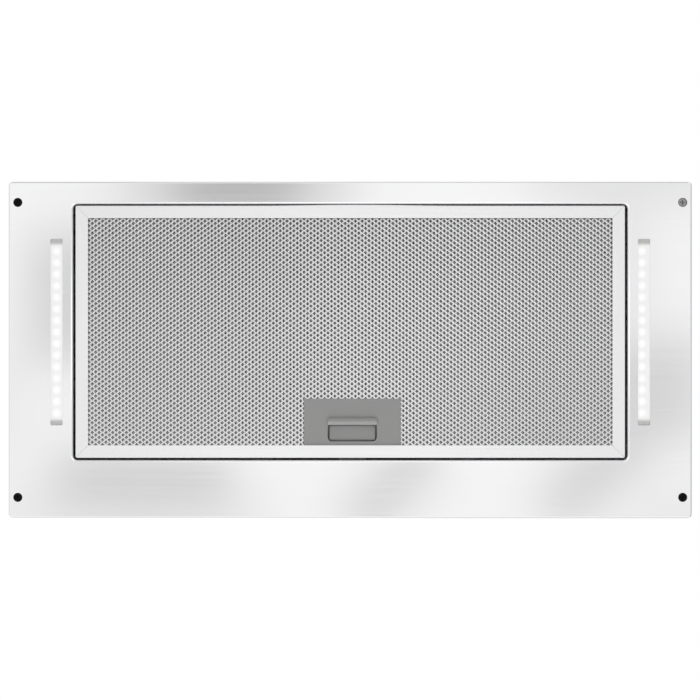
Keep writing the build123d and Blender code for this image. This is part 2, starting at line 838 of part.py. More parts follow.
# Outlet: a square base with a round spigot, a ledge inside it and holes for the flaps' spindle
base_width = 2 * (spigot_radius + base_margin)
with BuildPart() as collar_seal:
    with BuildSketch(Plane.XY.offset(casing_height)):
        with Locations((0, outlet_y)):
            RectangleRounded(base_width, base_width, base_corner)
            Circle(spigot_radius - spigot_wall, mode=Mode.SUBTRACT)
        with Locations(*collar_screw_places):
            Circle(collar_screw / 2 + press_room, mode=Mode.SUBTRACT)
    extrude(amount=seal_sheet)
keep(collar_seal, "collar_seal")

with BuildPart() as outlet_collar:
    with BuildSketch(Plane.XY.offset(base_z)):
        with Locations((0, outlet_y)):
            RectangleRounded(base_width, base_width, base_corner)
        with Locations(*collar_screw_places):
            Circle(collar_screw / 2 + press_room, mode=Mode.SUBTRACT)
    extrude(amount=base_sheet)
    with BuildSketch(Plane.XY.offset(base_z)):
        with Locations((0, outlet_y)):
            Circle(spigot_radius)
    extrude(amount=spigot_height)
    with BuildSketch(Plane.XY.offset(base_z)):
        with Locations((0, outlet_y)):
            Circle(spigot_radius - spigot_wall - ledge_width)
    extrude(amount=spigot_height, mode=Mode.SUBTRACT)
    with BuildSketch(Plane.XY.offset(ledge_z)):
        with Locations((0, outlet_y)):
            Circle(spigot_radius - spigot_wall)
    extrude(amount=spigot_height, mode=Mode.SUBTRACT)
    with BuildSketch(Plane.YZ):
        with Locations((outlet_y, spindle_z)):
            Circle(spindle_diameter / 2 + press_room)
    extrude(amount=spigot_radius, both=True, mode=Mode.SUBTRACT)
keep(outlet_collar, "outlet_collar")

with BuildPart() as damper_spindle:
    with BuildSketch(Plane.YZ):
        with Locations((outlet_y, spindle_z)):
            Circle(spindle_diameter / 2)
    extrude(amount=spigot_radius - spindle_sink, both=True)
keep(damper_spindle, "damper_spindle")

with BuildPart() as collar_screws:
    with BuildSketch(Plane.XY.offset(base_z + base_sheet)):
        with Locations(*collar_screw_places):
            Circle(collar_screw_head / 2)
    extrude(amount=collar_screw_head_height)
    with BuildSketch(Plane.XY.offset(base_z + base_sheet)):
        with Locations(*collar_screw_places):
            Circle(collar_screw / 2)
    extrude(amount=inner_top - flange_sheet - base_z - base_sheet)
keep(collar_screws, "collar_screws")


def damper_flap(face, first_knuckle):
    """Half disc hung on the spindle by every other knuckle, front or rear."""
    knuckle_step = knuckle_length + knuckle_room
    knuckle_centres = [
        knuckle_step * (i - (knuckle_count - 1) / 2) for i in range(first_knuckle, knuckle_count, 2)
    ]
    with BuildPart() as flap:
        with BuildSketch(Plane.XY.offset(ledge_z + seat_room)):
            with Locations((0, outlet_y)):
                Circle(flap_radius)
            with Locations((0, outlet_y + face * (flap_setback - flap_radius))):
                Rectangle(2 * flap_radius, 2 * flap_radius, mode=Mode.SUBTRACT)
            with Locations(*[(x, outlet_y + face * flap_setback / 2) for x in knuckle_centres]):
                Rectangle(knuckle_length, flap_setback)
        extrude(amount=flap_sheet)
        for x in knuckle_centres:
            with BuildSketch(Plane.YZ.offset(x)):
                with Locations((outlet_y, spindle_z)):
                    Circle(knuckle_radius)
            extrude(amount=knuckle_length / 2, both=True)
        with BuildSketch(Plane.YZ):
            with Locations((outlet_y, spindle_z)):
                Circle(spindle_diameter / 2 + running_room)
        extrude(amount=spigot_radius, both=True, mode=Mode.SUBTRACT)
    return flap


keep(damper_flap(-1, 0), "damper_flap_front")
keep(damper_flap(1, 1), "damper_flap_rear")

# Control box under the casing's top, its lid below
with BuildPart() as control_box_base:
    with BuildSketch(Plane.XY.offset(inner_top)):
        with Locations((control_x, control_y)):
            Rectangle(control_width, control_depth)
    extrude(amount=-control_height)
    with BuildSketch(Plane.XY.offset(inner_top - control_wall)):
        with Locations((control_x, control_y)):
            Rectangle(control_width - 2 * control_wall, control_depth - 2 * control_wall)
    extrude(amount=-control_height, mode=Mode.SUBTRACT)
    with BuildSketch(Plane.XY.offset(inner_top - control_wall)):
        with Locations((control_x, control_y)):
            with GridLocations(control_width - 2 * post_margin, control_depth - 2 * post_margin, 2, 2):
                Circle(post_radius)
    extrude(amount=-post_height)
    with BuildSketch(Plane.XY.offset(inner_top)):
        with Locations(*control_screw_places):
            Rectangle(ear_length, control_depth / 2)
            Circle(module_screw / 2 + press_room, mode=Mode.SUBTRACT)
    extrude(amount=-ear_sheet)
keep(control_box_base, "control_box_base")

with BuildPart() as control_box_lid:
    with BuildSketch(Plane.XY.offset(inner_top - control_height)):
        with Locations((control_x, control_y)):
            Rectangle(control_width, control_depth)
    extrude(amount=-control_wall)
keep(control_box_lid, "control_box_lid")

# Control board with its relays and transformer, hung from the posts
control_board_z = inner_top - control_wall - post_height
control_parts_z = control_board_z - board_sheet
control_parts_y = control_y + control_parts_setback
relay_run = (relay_count - 1) * relay_pitch
relay_places = [(control_x + relay_offset + x, control_parts_y) for x in spread(relay_count, relay_run)]
with BuildPart() as control_board:
    with BuildSketch(Plane.XY.offset(control_board_z)):
        with Locations((control_x, control_y)):
            Rectangle(
                control_width - 2 * control_wall - 2 * control_board_room,
                control_depth - 2 * control_wall - 2 * control_board_room,
            )
    extrude(amount=-board_sheet)
    with BuildSketch(Plane.XY.offset(control_parts_z)):
        with Locations((control_x - transformer_offset, control_parts_y)):
            Rectangle(transformer_width, transformer_depth)
    extrude(amount=-transformer_height)
    with BuildSketch(Plane.XY.offset(control_parts_z)):
        with Locations(*relay_places):
            Rectangle(relay_width, relay_depth)
    extrude(amount=-relay_height)
keep(control_board, "control_board")

with BuildPart() as terminal_block:
    with BuildSketch(Plane.XY.offset(control_parts_z)):
        with Locations((control_x, control_y - terminal_setback)):
            Rectangle(terminal_width, terminal_depth)
    extrude(amount=-terminal_height)
    chamfer(terminal_block.faces().sort_by(Axis.Z)[0].edges().filter_by(Axis.X), terminal_slope)
keep(terminal_block, "terminal_block")

# Sealed supply for the LED strips
with BuildPart() as led_driver:
    with BuildSketch(Plane.XY.offset(inner_top)):
        with Locations((driver_x, driver_y)):
            Rectangle(driver_width, driver_depth)
    extrude(amount=-driver_height)
    fillet(led_driver.edges().filter_by(Axis.Z), driver_edge)
    with BuildSketch(Plane.XY.offset(inner_top)):
        with Locations(*driver_screw_places):
            Rectangle(ear_length, driver_depth / 2)
            Circle(module_screw / 2 + press_room, mode=Mode.SUBTRACT)
    extrude(amount=-ear_sheet)
keep(led_driver, "led_driver")

with BuildPart() as module_screws:
    with BuildSketch(Plane.XY.offset(inner_top - ear_sheet)):
        with Locations(*module_screw_places):
            Circle(module_screw_head / 2)
    extrude(amount=-module_screw_head_height)
    with BuildSketch(Plane.XY.offset(inner_top - ear_sheet)):
        with Locations(*module_screw_places):
            Circle(module_screw / 2)
    extrude(amount=ear_sheet + casing_sheet + module_screw_end)
keep(module_screws, "module_screws")

# Motor capacitor, hung from the casing's top by its stud
with BuildPart() as capacitor:
    with BuildSketch(Plane.XY.offset(inner_top)):
        with Locations((can_x, can_y)):
            Circle(can_radius)
    extrude(amount=-can_height)
    fillet(capacitor.edges().group_by(Axis.Z)[0], can_edge)
    with BuildSketch(Plane.XY.offset(inner_top)):
        with Locations((can_x, can_y)):
            Circle(can_stud / 2)
    extrude(amount=can_stud_height)
keep(capacitor, "capacitor")

with BuildPart() as capacitor_nut:
    with BuildSketch(Plane.XY.offset(casing_height)):
        with Locations((can_x, can_y)):
            RegularPolygon(can_nut_width / 2, 6, major_radius=False)
            Circle(can_stud / 2 + press_room, mode=Mode.SUBTRACT)
    extrude(amount=can_nut_height)
keep(capacitor_nut, "capacitor_nut")

# Gland for the supply cable, and its lock nut below the casing's top
with BuildPart() as cable_gland:
    with BuildSketch(Plane.XY.offset(inner_top - gland_nut_height)):
        with Locations((gland_x, gland_y)):
            Circle(gland_thread / 2)
    extrude(amount=gland_nut_height + casing_sheet)
    with BuildSketch(Plane.XY.offset(casing_height)):
        with Locations((gland_x, gland_y)):
            RegularPolygon(gland_hex / 2, 6, major_radius=False)
    extrude(amount=gland_hex_height)
    with BuildSketch(Plane.XY.offset(casing_height + gland_hex_height)):
        with Locations((gland_x, gland_y)):
            Circle(gland_dome_radius)
    extrude(amount=gland_dome_height)
    fillet(cable_gland.edges().group_by(Axis.Z)[-1], gland_dome_round)
    with BuildSketch(Plane.XY.offset(inner_top - gland_nut_height)):
        with Locations((gland_x, gland_y)):
            Circle(gland_bore / 2)
    extrude(amount=casing_height, mode=Mode.SUBTRACT)
keep(cable_gland, "cable_gland")

with BuildPart() as gland_nut:
    with BuildSketch(Plane.XY.offset(inner_top)):
        with Locations((gland_x, gland_y)):
            RegularPolygon(gland_hex / 2, 6, major_radius=False)
            Circle(gland_thread / 2 + press_room, mode=Mode.SUBTRACT)
    extrude(amount=-gland_nut_height)
keep(gland_nut, "gland_nut")

# Filter rails: one folded channel, mitred at its corners into four pieces
rail_corners = {
    "front": ((-1, -1), (1, -1)),
    "right": ((1, -1), (1, 1)),
    "rear": ((1, 1), (-1, 1)),
    "left": ((-1, 1), (-1, -1)),
}


def filter_rail(name):
    """Channel along one side of the filter, its mitred ends a hair short of its neighbours."""
    first, last = rail_corners[name]
    trim_x, trim_y = (mitre_trim, 0) if name in faces else (0, mitre_trim)
    outer_x, outer_y = filter_width / 2 - trim_x, filter_depth / 2 - trim_y
    inner_x, inner_y = window_half_x - trim_x, window_half_y - trim_y
    outer = [(x * outer_x, filter_y + y * outer_y) for x, y in (first, last)]
    inner = [(x * inner_x, filter_y + y * inner_y) for x, y in (last, first)]
    with BuildPart() as rail:
        with BuildSketch(Plane.XY.offset(face_z)):
            with Locations((0, filter_y)):
                RectangleRounded(filter_width, filter_depth, filter_corner)
        extrude(amount=filter_height)
        fillet(rail.faces().sort_by(Axis.Z)[0].edges(), rail_bend)
        with BuildSketch(Plane.XY.offset(face_z)):
            with Locations((0, filter_y)):
                Rectangle(2 * window_half_x, 2 * window_half_y)
        extrude(amount=filter_height, mode=Mode.SUBTRACT)
        with BuildSketch(Plane.XY.offset(pack_z)):
            with Locations((0, filter_y)):
                Rectangle(filter_width - 2 * rail_sheet, filter_depth - 2 * rail_sheet)
        extrude(amount=pack_height, mode=Mode.SUBTRACT)
        with BuildSketch(Plane.XY.offset(face_z)):
            with BuildLine():
                Polyline(*outer, *inner, close=True)
            make_face()
        extrude(amount=filter_height, mode=Mode.INTERSECT)
        if name == "front":
            with Locations((latch_offset, filter_front, bolt_z + bolt_thickness / 2)):
                Box(bolt_hole_width, 4 * rail_sheet, bolt_hole_height, mode=Mode.SUBTRACT)
    return rail


for name in rail_corners:
    keep(filter_rail(name), f"filter_rail_{name}")

# Gaps of the coarse net, staggered row by row, that lie wholly inside the rails and beside the latch
net_columns = int(2 * window_half_x / net_pitch_x) + 1
net_rows = int(4 * window_half_y / net_pitch_y) + 1
gap_half_x = (net_pitch_x - net_strand) / 2
gap_half_y = gap_half_x * net_pitch_y / net_pitch_x
gap_corners = [(-gap_half_x, 0), (0, -gap_half_y), (gap_half_x, 0), (0, gap_half_y)]


def clear_of_latch(x, y):
    beside = abs(x - latch_offset) > latch_width / 2 + gap_half_x
    return beside or y > housing_rear + gap_half_y


net_centres = [
    (net_pitch_x * (column + row % 2 / 2), filter_y + net_pitch_y * row / 2)
    for row in range(-net_rows // 2, net_rows // 2 + 1)
    for column in range(-net_columns // 2, net_columns // 2 + 1)
]
net_gaps = [
    (x, y)
    for x, y in net_centres
    if abs(x) + gap_half_x < window_half_x
    and abs(y - filter_y) + gap_half_y < window_half_y
    and clear_of_latch(x, y)
]


def pack_sheet(z, thickness, gaps=()):
    """Sheet of the filter pack inside the rails, cut out round the latch, with any gaps of the net."""
    with BuildPart() as sheet:
        with BuildSketch(Plane.XY.offset(z)):
            with Locations((0, filter_y)):
                Rectangle(pack_width, pack_depth)
            with Locations((latch_offset, housing_y - latch_wall)):
                Rectangle(
                    latch_width + 2 * press_room,
                    housing_rear - housing_front + 2 * latch_wall + 2 * press_room,
                    mode=Mode.SUBTRACT,
                )
            if gaps:
                with Locations(*gaps):
                    Polygon(*gap_corners, mode=Mode.SUBTRACT)
        extrude(amount=thickness)
    return sheet


keep(pack_sheet(pack_z, mesh_sheet, net_gaps), "filter_face_mesh")
keep(pack_sheet(pack_z + pack_height - mesh_sheet, mesh_sheet), "filter_back_mesh")

# Inner layers of the filter, evenly spaced between the face and the back
layer_step = (pack_height - 2 * mesh_sheet - layer_count * layer_sheet) / (layer_count + 1) + layer_sheet
with BuildPart() as filter_core_layers:
    for layer in range(layer_count):
        add(pack_sheet(pack_z + mesh_sheet + layer_step * (layer + 1) - layer_sheet, layer_sheet).part)
keep(filter_core_layers, "filter_core_layers")

# Rear hook: a strip over the opening's lip, turned down to a bead that the filter swings on
hook_front = filter_rear - hook_overlap
hook_rear = pivot_y + hook_sheet / 2
with BuildPart() as filter_rear_hook:
    with BuildSketch(Plane.YZ):
        with Locations((hook_front, face_z + filter_height)):
            Rectangle(hook_rear - hook_front, hook_sheet, align=(Align.MIN, Align.MIN))
        with Locations((pivot_y, pivot_z)):
            Rectangle(hook_sheet, face_z + filter_height - pivot_z, align=(Align.CENTER, Align.MIN))
            Circle(bead_radius)
    extrude(amount=hook_width / 2, both=True)
keep(filter_rear_hook, "filter_rear_hook")

# Latch housing: a tray on the front rail with the grip's window in its face
with BuildPart() as latch_housing:
    with BuildSketch(Plane.XY.offset(pack_z)):
        with Locations((latch_offset, housing_y)):
            Rectangle(latch_width, housing_rear - housing_front)
    extrude(amount=cover_z - pack_z)
    with BuildSketch(Plane.XY.offset(cavity_z)):
        with Locations((latch_offset, housing_y)):
            Rectangle(latch_width - 2 * latch_wall, housing_rear - housing_front - 2 * latch_wall)
    extrude(amount=cover_z - cavity_z, mode=Mode.SUBTRACT)
    with BuildSketch(Plane.XY.offset(pack_z)):
        with Locations((latch_offset, window_front + window_depth / 2)):
            RectangleRounded(window_width, window_depth, window_corner)
    extrude(amount=latch_wall, mode=Mode.SUBTRACT)
    with Locations((latch_offset, housing_front, bolt_z + bolt_thickness / 2)):
        Box(bolt_hole_width, 4 * latch_wall, bolt_hole_height, mode=Mode.SUBTRACT)
keep(latch_housing, "latch_housing")

with BuildPart() as latch_back_cover:
    with BuildSketch(Plane.XY.offset(cover_z)):
        with Locations((latch_offset, housing_y)):
            Rectangle(latch_width, housing_rear - housing_front)
    extrude(amount=latch_cover)
keep(latch_back_cover, "latch_back_cover")

# Latch slider: body behind the window, sunk grip, ridge over the face and bolt over the opening's lip
grip_width = window_width - 2 * grip_side_gap
grip_front = window_front + grip_front_gap
ridge_front = window_front + grip_depth
grip_rear = ridge_front - grip_rear_gap
slider_front = cavity_front + slide_room
slider_z = cavity_z + slide_room
ridge_z = pack_z - slide_room
with BuildPart() as latch_slider:
    with BuildSketch(Plane.XY.offset(slider_z)):
        with Locations((latch_offset, (slider_front + slider_rear) / 2)):
            Rectangle(slider_width, slider_rear - slider_front)
    extrude(amount=cover_z - slide_room - slider_z)
    with BuildSketch(Plane.XY.offset(slider_z)):
        with Locations((latch_offset, window_front)):
            Rectangle(window_width, grip_depth, align=(Align.CENTER, Align.MIN))
    extrude(amount=grip_groove, mode=Mode.SUBTRACT)
    with BuildSketch(Plane.XY.offset(pack_z + grip_sink)):
        with Locations((latch_offset, grip_front)):
            Rectangle(grip_width, grip_rear - grip_front, align=(Align.CENTER, Align.MIN))
    extrude(amount=slider_z + grip_groove - pack_z - grip_sink)
    with BuildSketch(Plane.XY.offset(ridge_z)):
        with Locations((latch_offset, ridge_front)):
            Rectangle(window_width - 2 * window_corner, neck_depth, align=(Align.CENTER, Align.MIN))
    extrude(amount=slider_z - ridge_z)
    with BuildSketch(Plane.YZ.offset(latch_offset)):
        with BuildLine():
            Polyline(
                (ridge_front, ridge_z),
                (ridge_front, ridge_z - ridge_height),
                (ridge_front + neck_depth, ridge_z - ridge_height),
                (ridge_front + ridge_depth, ridge_z - ridge_toe),
                (ridge_front + ridge_depth, ridge_z),
                close=True,
            )
        make_face()
    extrude(amount=window_width / 2, both=True)
    upright_edges = latch_slider.edges().filter_by(Axis.Z)
    toe_edges = upright_edges.filter_by_position(Axis.Z, ridge_z - ridge_toe, ridge_z)
    fillet(toe_edges.sort_by(Axis.Y)[-2:], window_corner)
    crest_edges = latch_slider.edges().filter_by(Axis.X).group_by(Axis.Z)[0]
    fillet(crest_edges.sort_by(Axis.Y)[0], ridge_round)
    with BuildSketch(Plane.XY.offset(bolt_z)):
        with Locations((latch_offset, bolt_tip)):
            Rectangle(bolt_width, slider_front - bolt_tip, align=(Align.CENTER, Align.MIN))
    extrude(amount=bolt_thickness)
    tip_edges = latch_slider.faces().sort_by(Axis.Y)[0].edges().filter_by(Axis.X)
    chamfer(tip_edges.sort_by(Axis.Z)[0], bolt_nose)
keep(latch_slider, "latch_slider")

# Springs behind the slider, drawn as plain sleeves
spring_length = housing_rear - latch_wall - slider_rear
spring_z = (slider_z + cover_z - slide_room) / 2
spring_seat = Plane(origin=(latch_offset, slider_rear, spring_z), x_dir=(1, 0, 0), z_dir=(0, 1, 0))
with BuildPart() as latch_springs:
    with BuildSketch(spring_seat):
        with GridLocations(spring_spacing, 0, 2, 1):
            Circle(spring_radius)
            Circle(spring_radius - spring_wall, mode=Mode.SUBTRACT)
    extrude(amount=spring_length)
keep(latch_springs, "latch_springs")
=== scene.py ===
import json
import math

import bmesh
import bpy
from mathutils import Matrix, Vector


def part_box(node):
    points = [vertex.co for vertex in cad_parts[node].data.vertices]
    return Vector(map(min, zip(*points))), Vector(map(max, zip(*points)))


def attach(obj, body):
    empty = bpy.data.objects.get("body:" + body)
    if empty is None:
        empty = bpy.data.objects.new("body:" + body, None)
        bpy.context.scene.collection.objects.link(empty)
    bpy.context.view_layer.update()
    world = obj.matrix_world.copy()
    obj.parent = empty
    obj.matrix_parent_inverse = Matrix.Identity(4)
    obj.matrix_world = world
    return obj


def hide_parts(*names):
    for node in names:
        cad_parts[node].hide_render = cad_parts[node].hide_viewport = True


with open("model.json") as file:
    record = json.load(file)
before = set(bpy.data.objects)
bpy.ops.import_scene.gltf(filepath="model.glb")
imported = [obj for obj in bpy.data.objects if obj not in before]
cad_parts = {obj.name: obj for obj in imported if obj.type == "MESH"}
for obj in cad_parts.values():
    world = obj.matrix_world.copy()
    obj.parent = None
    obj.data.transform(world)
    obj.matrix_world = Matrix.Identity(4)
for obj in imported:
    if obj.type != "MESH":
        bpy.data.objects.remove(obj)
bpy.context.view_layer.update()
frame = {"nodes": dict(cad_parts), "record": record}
nodes = frame["nodes"]
print("frame loaded,", len(nodes), "nodes")

mm = 0.001
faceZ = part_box("fascia_panel")[0].z  # underside of the fascia
maths = "ShaderNodeMath"
noiseSpan = {"From Min": 0.3, "From Max": 0.7}  # nearly all of a noise lies between these


def linear(hexColour):
    channels = [int(hexColour[i:i + 2], 16) / 255 for i in (1, 3, 5)]
    return [c / 12.92 if c <= 0.04045 else ((c + 0.055) / 1.055) ** 2.4 for c in channels] + [1.0]


def shade(hexColour, factor):
    return [min(1.0, c * factor) for c in linear(hexColour)[:3]] + [1.0]


def addNode(tree, kind, settings=None, inputs=None):
    node = tree.nodes.new(kind)
    for key, value in (settings or {}).items():
        setattr(node, key, value)
    for key, value in (inputs or {}).items():
        if isinstance(value, bpy.types.NodeSocket):
            tree.links.new(value, node.inputs[key])
        else:
            node.inputs[key].default_value = value
    return node


def startMaterial(name, colour, **sockets):
    material = bpy.data.materials.new(name)
    material.use_nodes = True
    tree = material.node_tree
    shader = tree.nodes["Principled BSDF"]
    shader.inputs["Base Color"].default_value = linear(colour)
    for key, value in sockets.items():
        shader.inputs[key.replace("_", " ")].default_value = value
    return material, tree, shader


def finishMaterial(tree, shader, links):
    for key, value in links.items():
        tree.links.new(value, shader.inputs[key])


# camera and studio

# metres, but the sensor in millimetres
stageView = {"distance": 1.5, "frameWidth": 0.6142, "aside": (0.00022, -0.0001), "sensor": 36.0}
# left and right on the stage are as the camera sees them, on the hood as a person facing it does
studio = {
    "floorHeight": -2.2, "floorSize": 60.0, "floorColour": "#e9e9e7", "floorRoughness": 0.9,
    "floorWhite": 0.75, "ambient": 0.6,  # floorWhite is the share of plain white the camera sees on the floor
    "lamps": {  # place, size in metres, power in watts, seen by gloss
        "lampLeft": ((1.3, -0.1, -0.95), 0.9, 5.0, False),
        "lampRight": ((-1.3, -0.1, -0.95), 0.9, 5.0, False),
        "lampFront": ((0.0, -1.6, -0.4), 1.2, 22.0, False),
        "lampTop": ((0.6, -0.9, 2.1), 1.8, 16.0, True),
    },
    "cards": {  # cards that only gloss sees: middle, half sides along the card, grey level
        "cardRearLeft": ((0.214, 0.356, -1.75), (0.12, 0, 0), (0, 0.12, 0), 0.4),
        "cardRearHalo": ((0.215, 0.356, -1.76), (0.22, 0, 0), (0, 0.12, 0), 0.74),
        "cardRearRight": ((-0.53, 0.38, -1.75), (0.19, 0, 0), (0, 0.1, 0), 0.78),
        "cardSlot": ((0.51, 0.1, -1.75), (0.1, 0, 0), (0, 0.125, 0), 0.62),
        "cardFrontLeft": ((0.394, -0.243, -1.75), (0.17, 0, 0), (0, 0.044, 0), 0.52),
        "cardFrontEdge": ((0.42, -0.345, -1.76), (0.262, 0, 0), (0, 0.08, 0), 0.85),
        "cardLeg": ((-0.078, -0.259, -1.75), (0.075, -0.075, 0), (0.028, 0.028, 0), 0.5),
        "cardLegRight": ((-0.46, -0.236, -1.75), (0.085, -0.085, 0), (0.033, 0.033, 0), 0.57),
        "cardSideRight": ((-0.57, -0.07, -1.75), (0.1, 0, 0), (0, 0.095, 0), 0.62),
        "cardSideLeft": ((0.69, -0.1, -1.76), (0.07, 0, 0), (0, 0.1, 0), 0.86),
        "cardCornerRight": ((-0.66, -0.37, -1.76), (0.1, 0, 0), (0, 0.09, 0), 0.84),
        "cardInnerRight": ((-0.51, 0.165, -1.76), (0.055, 0, 0), (0, 0.11, 0), 0.81),
        "cardLip": ((0, 0.02, -1.0), (0.28, 0, 0), (0, 0.08, 0), 1.6),
        "cardLeft": ((1.7, 0, 0.15), (0, 1.7, 0), (0, 0, 2.35), 0.78),
        "cardRight": ((-1.7, 0, 0.15), (0, 1.7, 0), (0, 0, 2.35), 0.56),
        "cardRear": ((0, 1.7, -1.4), (1.7, 0, 0), (0, 0, 0.8), 0.5),
        "cardRearHigh": ((0, 1.7, 0.95), (1.7, 0, 0), (0, 0, 1.55), 0.95),
        "cardFront": ((0, -2.4, 0.15), (1.8, 0, 0), (0, 0, 2.35), 0.78),
        "glintLeft": ((1.15, 0.95, -1.05), (0.2, 0, 0.2), (-0.14, 0.2, 0.14), 0.97),
        "glintRight": ((-1.15, 0.95, -1.05), (0.2, 0, -0.2), (0.14, 0.2, 0.14), 1.22),
        "dimLeft": ((0.52, 0.8, -1.06), (0.2, 0, 0), (0, 0.25, 0), 0.55),
        "dimRight": ((-0.52, 0.8, -1.06), (0.2, 0, 0), (0, 0.25, 0), 0.55),
    },
}


def makeStage():
    scene = bpy.context.scene
    scene.view_settings.view_transform = "Standard"
    cameraData = bpy.data.cameras.new("stageCamera")
    cameraData.sensor_width = stageView["sensor"]
    cameraData.lens = stageView["sensor"] * stageView["distance"] / stageView["frameWidth"]
    camera = bpy.data.objects.new("stageCamera", cameraData)
    camera.location = (*stageView["aside"], faceZ - stageView["distance"])
    camera.rotation_euler = (0, math.pi, 0)  # looks straight up, the hood's rear at the top
    scene.collection.objects.link(camera)
    scene.camera = camera

    for name, (place, size, power, glossy) in studio["lamps"].items():
        lampData = bpy.data.lights.new(name, "AREA")
        lampData.shape = "SQUARE"
        lampData.size = size
        lampData.energy = power
        lamp = bpy.data.objects.new(name, lampData)
        lamp.location = place
        lamp.rotation_euler = (-Vector(place)).to_track_quat("-Z", "Y").to_euler()
        lamp.visible_glossy = glossy
        scene.collection.objects.link(lamp)

    world = bpy.data.worlds.new("studioWorld")
    scene.world = world
    world.use_nodes = True
    tree = world.node_tree
    tree.nodes.clear()
    strength = addNode(tree, "ShaderNodeMapRange", {}, {
        "Value": seenRays(tree, 1.0), "To Min": studio["ambient"], "To Max": 1.0})
    light = addNode(tree, "ShaderNodeBackground", {}, {
        "Color": (1, 1, 1, 1), "Strength": strength.outputs[0]})
    addNode(tree, "ShaderNodeOutputWorld", {}, {"Surface": light.outputs[0]})

    half = studio["floorSize"] / 2
    floor = stageSheet("studioFloor", (0, 0, studio["floorHeight"]), (half, 0, 0), (0, half, 0))
    material, tree, shader = startMaterial(
        "palePaint", studio["floorColour"], Roughness=studio["floorRoughness"])
    white = addNode(tree, "ShaderNodeEmission", {}, {"Color": (1, 1, 1, 1), "Strength": 1.0})
    mixed = addNode(tree, "ShaderNodeMixShader", {}, {
        0: seenRays(tree, studio["floorWhite"]), 1: shader.outputs[0],  # the shadow stays in the rest
        2: white.outputs[0]})
    tree.links.new(mixed.outputs[0], tree.nodes["Material Output"].inputs["Surface"])
    floor.data.materials.append(material)

    for name, (middle, sideA, sideB, level) in studio["cards"].items():
        card = stageSheet(name, middle, sideA, sideB)
        card.visible_camera = False
        card.visible_diffuse = False
        card.visible_shadow = False
        card.visible_transmission = False
        material, _, shader = startMaterial(name + "Grey", "#000000", Roughness=1.0)
        shader.inputs["Emission Color"].default_value = (level, level, level, 1)
        shader.inputs["Emission Strength"].default_value = 1.0
        card.data.materials.append(material)


def seenRays(tree, cameraShare):
    # 1 for what gloss or glass shows, cameraShare for what the camera sees itself
    path = addNode(tree, "ShaderNodeLightPath")
    seen = addNode(tree, maths, {"operation": "MULTIPLY"}, {0: path.outputs["Is Camera Ray"], 1: cameraShare})
    for kind in ("Is Glossy Ray", "Is Transmission Ray"):
        seen = addNode(tree, maths, {"operation": "MAXIMUM"}, {0: seen.outputs[0], 1: path.outputs[kind]})
    return seen.outputs[0]


def stageSheet(name, middle, sideA, sideB):
    middle, sideA, sideB = Vector(middle), Vector(sideA), Vector(sideB)
    corners = [middle - sideA - sideB, middle + sideA - sideB, middle + sideA + sideB, middle - sideA + sideB]
    mesh = bpy.data.meshes.new(name)
    mesh.from_pydata(corners, [], [(0, 1, 2, 3)])
    sheet = bpy.data.objects.new(name, mesh)
    bpy.context.scene.collection.objects.link(sheet)
    return sheet


makeStage()
print("stage made")


# materials

def streaks(tree, along, grain):
    # scratches of a brush: noise drawn out along one axis, grain is (length, width) in mm;
    # real ones are a tenth of this wide and would only flicker from far off
    coords = addNode(tree, "ShaderNodeTexCoord")
    length, width = grain
    scale = [1 / (length * mm) if axis == along else 1 / (width * mm) for axis in "XYZ"]
    mapping = addNode(tree, "ShaderNodeMapping", {}, {"Vector": coords.outputs["Object"], "Scale": scale})
    return addNode(tree, "ShaderNodeTexNoise", {}, {
        "Vector": mapping.outputs[0], "Scale": 1.0, "Detail": 1.5, "Roughness": 0.5})


foldHeight = (1.0 * mm, 2.5 * mm)  # where a face ends and its fold begins


def foldDulled(tree, gloss, dulling):
    # folds behind the face keep the dull skin of the mill
    coords = addNode(tree, "ShaderNodeTexCoord")
    split = addNode(tree, "ShaderNodeSeparateXYZ", {}, {0: coords.outputs["Object"]})
    fold = addNode(tree, "ShaderNodeMapRange", {}, {
        "Value": split.outputs["Z"], "From Min": faceZ + foldHeight[0], "From Max": faceZ + foldHeight[1],
        "To Max": dulling})
    return addNode(tree, maths, {"operation": "ADD"}, {0: gloss.outputs[0], 1: fold.outputs[0]})


satinSteel = {"colour": "#f8f8f9", "roughness": 0.14, "grain": (140, 2.2), "contrast": 0.01, "darker": 0.015,
              "foldDulling": 0.75, "backColour": "#a9abad", "thickness": 1.0 * mm, "tolerance": 0.03 * mm}


def satinStainless(name):
    # rolled and finely brushed along its length: soft wide reflections, a grain that shows only close up;
    # its flat back face is a darker grey
    material, tree, shader = startMaterial(name, satinSteel["colour"], Metallic=1.0)
    scratch = streaks(tree, "X", satinSteel["grain"])
    rough = satinSteel["roughness"]
    gloss = addNode(tree, "ShaderNodeMapRange", {}, {
        "Value": scratch.outputs["Fac"], **noiseSpan,
        "To Min": rough - satinSteel["contrast"], "To Max": rough + satinSteel["contrast"]})
    tint = addNode(tree, "ShaderNodeMix", {"data_type": "RGBA"}, {
        "Factor": scratch.outputs["Fac"], 6: linear(satinSteel["colour"]),
        7: shade(satinSteel["colour"], 1 - satinSteel["darker"])})
    coords = addNode(tree, "ShaderNodeTexCoord")
    split = addNode(tree, "ShaderNodeSeparateXYZ", {}, {0: coords.outputs["Object"]})
    back = addNode(tree, maths, {"operation": "COMPARE"}, {
        0: split.outputs["Z"], 1: faceZ + satinSteel["thickness"], 2: satinSteel["tolerance"]})
    skin = addNode(tree, "ShaderNodeMix", {"data_type": "RGBA"}, {
        "Factor": back.outputs[0], 6: tint.outputs[2], 7: linear(satinSteel["backColour"])})
    dulled = foldDulled(tree, gloss, satinSteel["foldDulling"])
    finishMaterial(tree, shader, {"Base Color": skin.outputs[2], "Roughness": dulled.outputs[0]})
    return material


filterAlloy = {"colour": "#f3f3f4", "roughness": 0.36, "grain": (90, 1.6), "contrast": 0.04, "darker": 0.04,
               "foldDulling": 0.5}


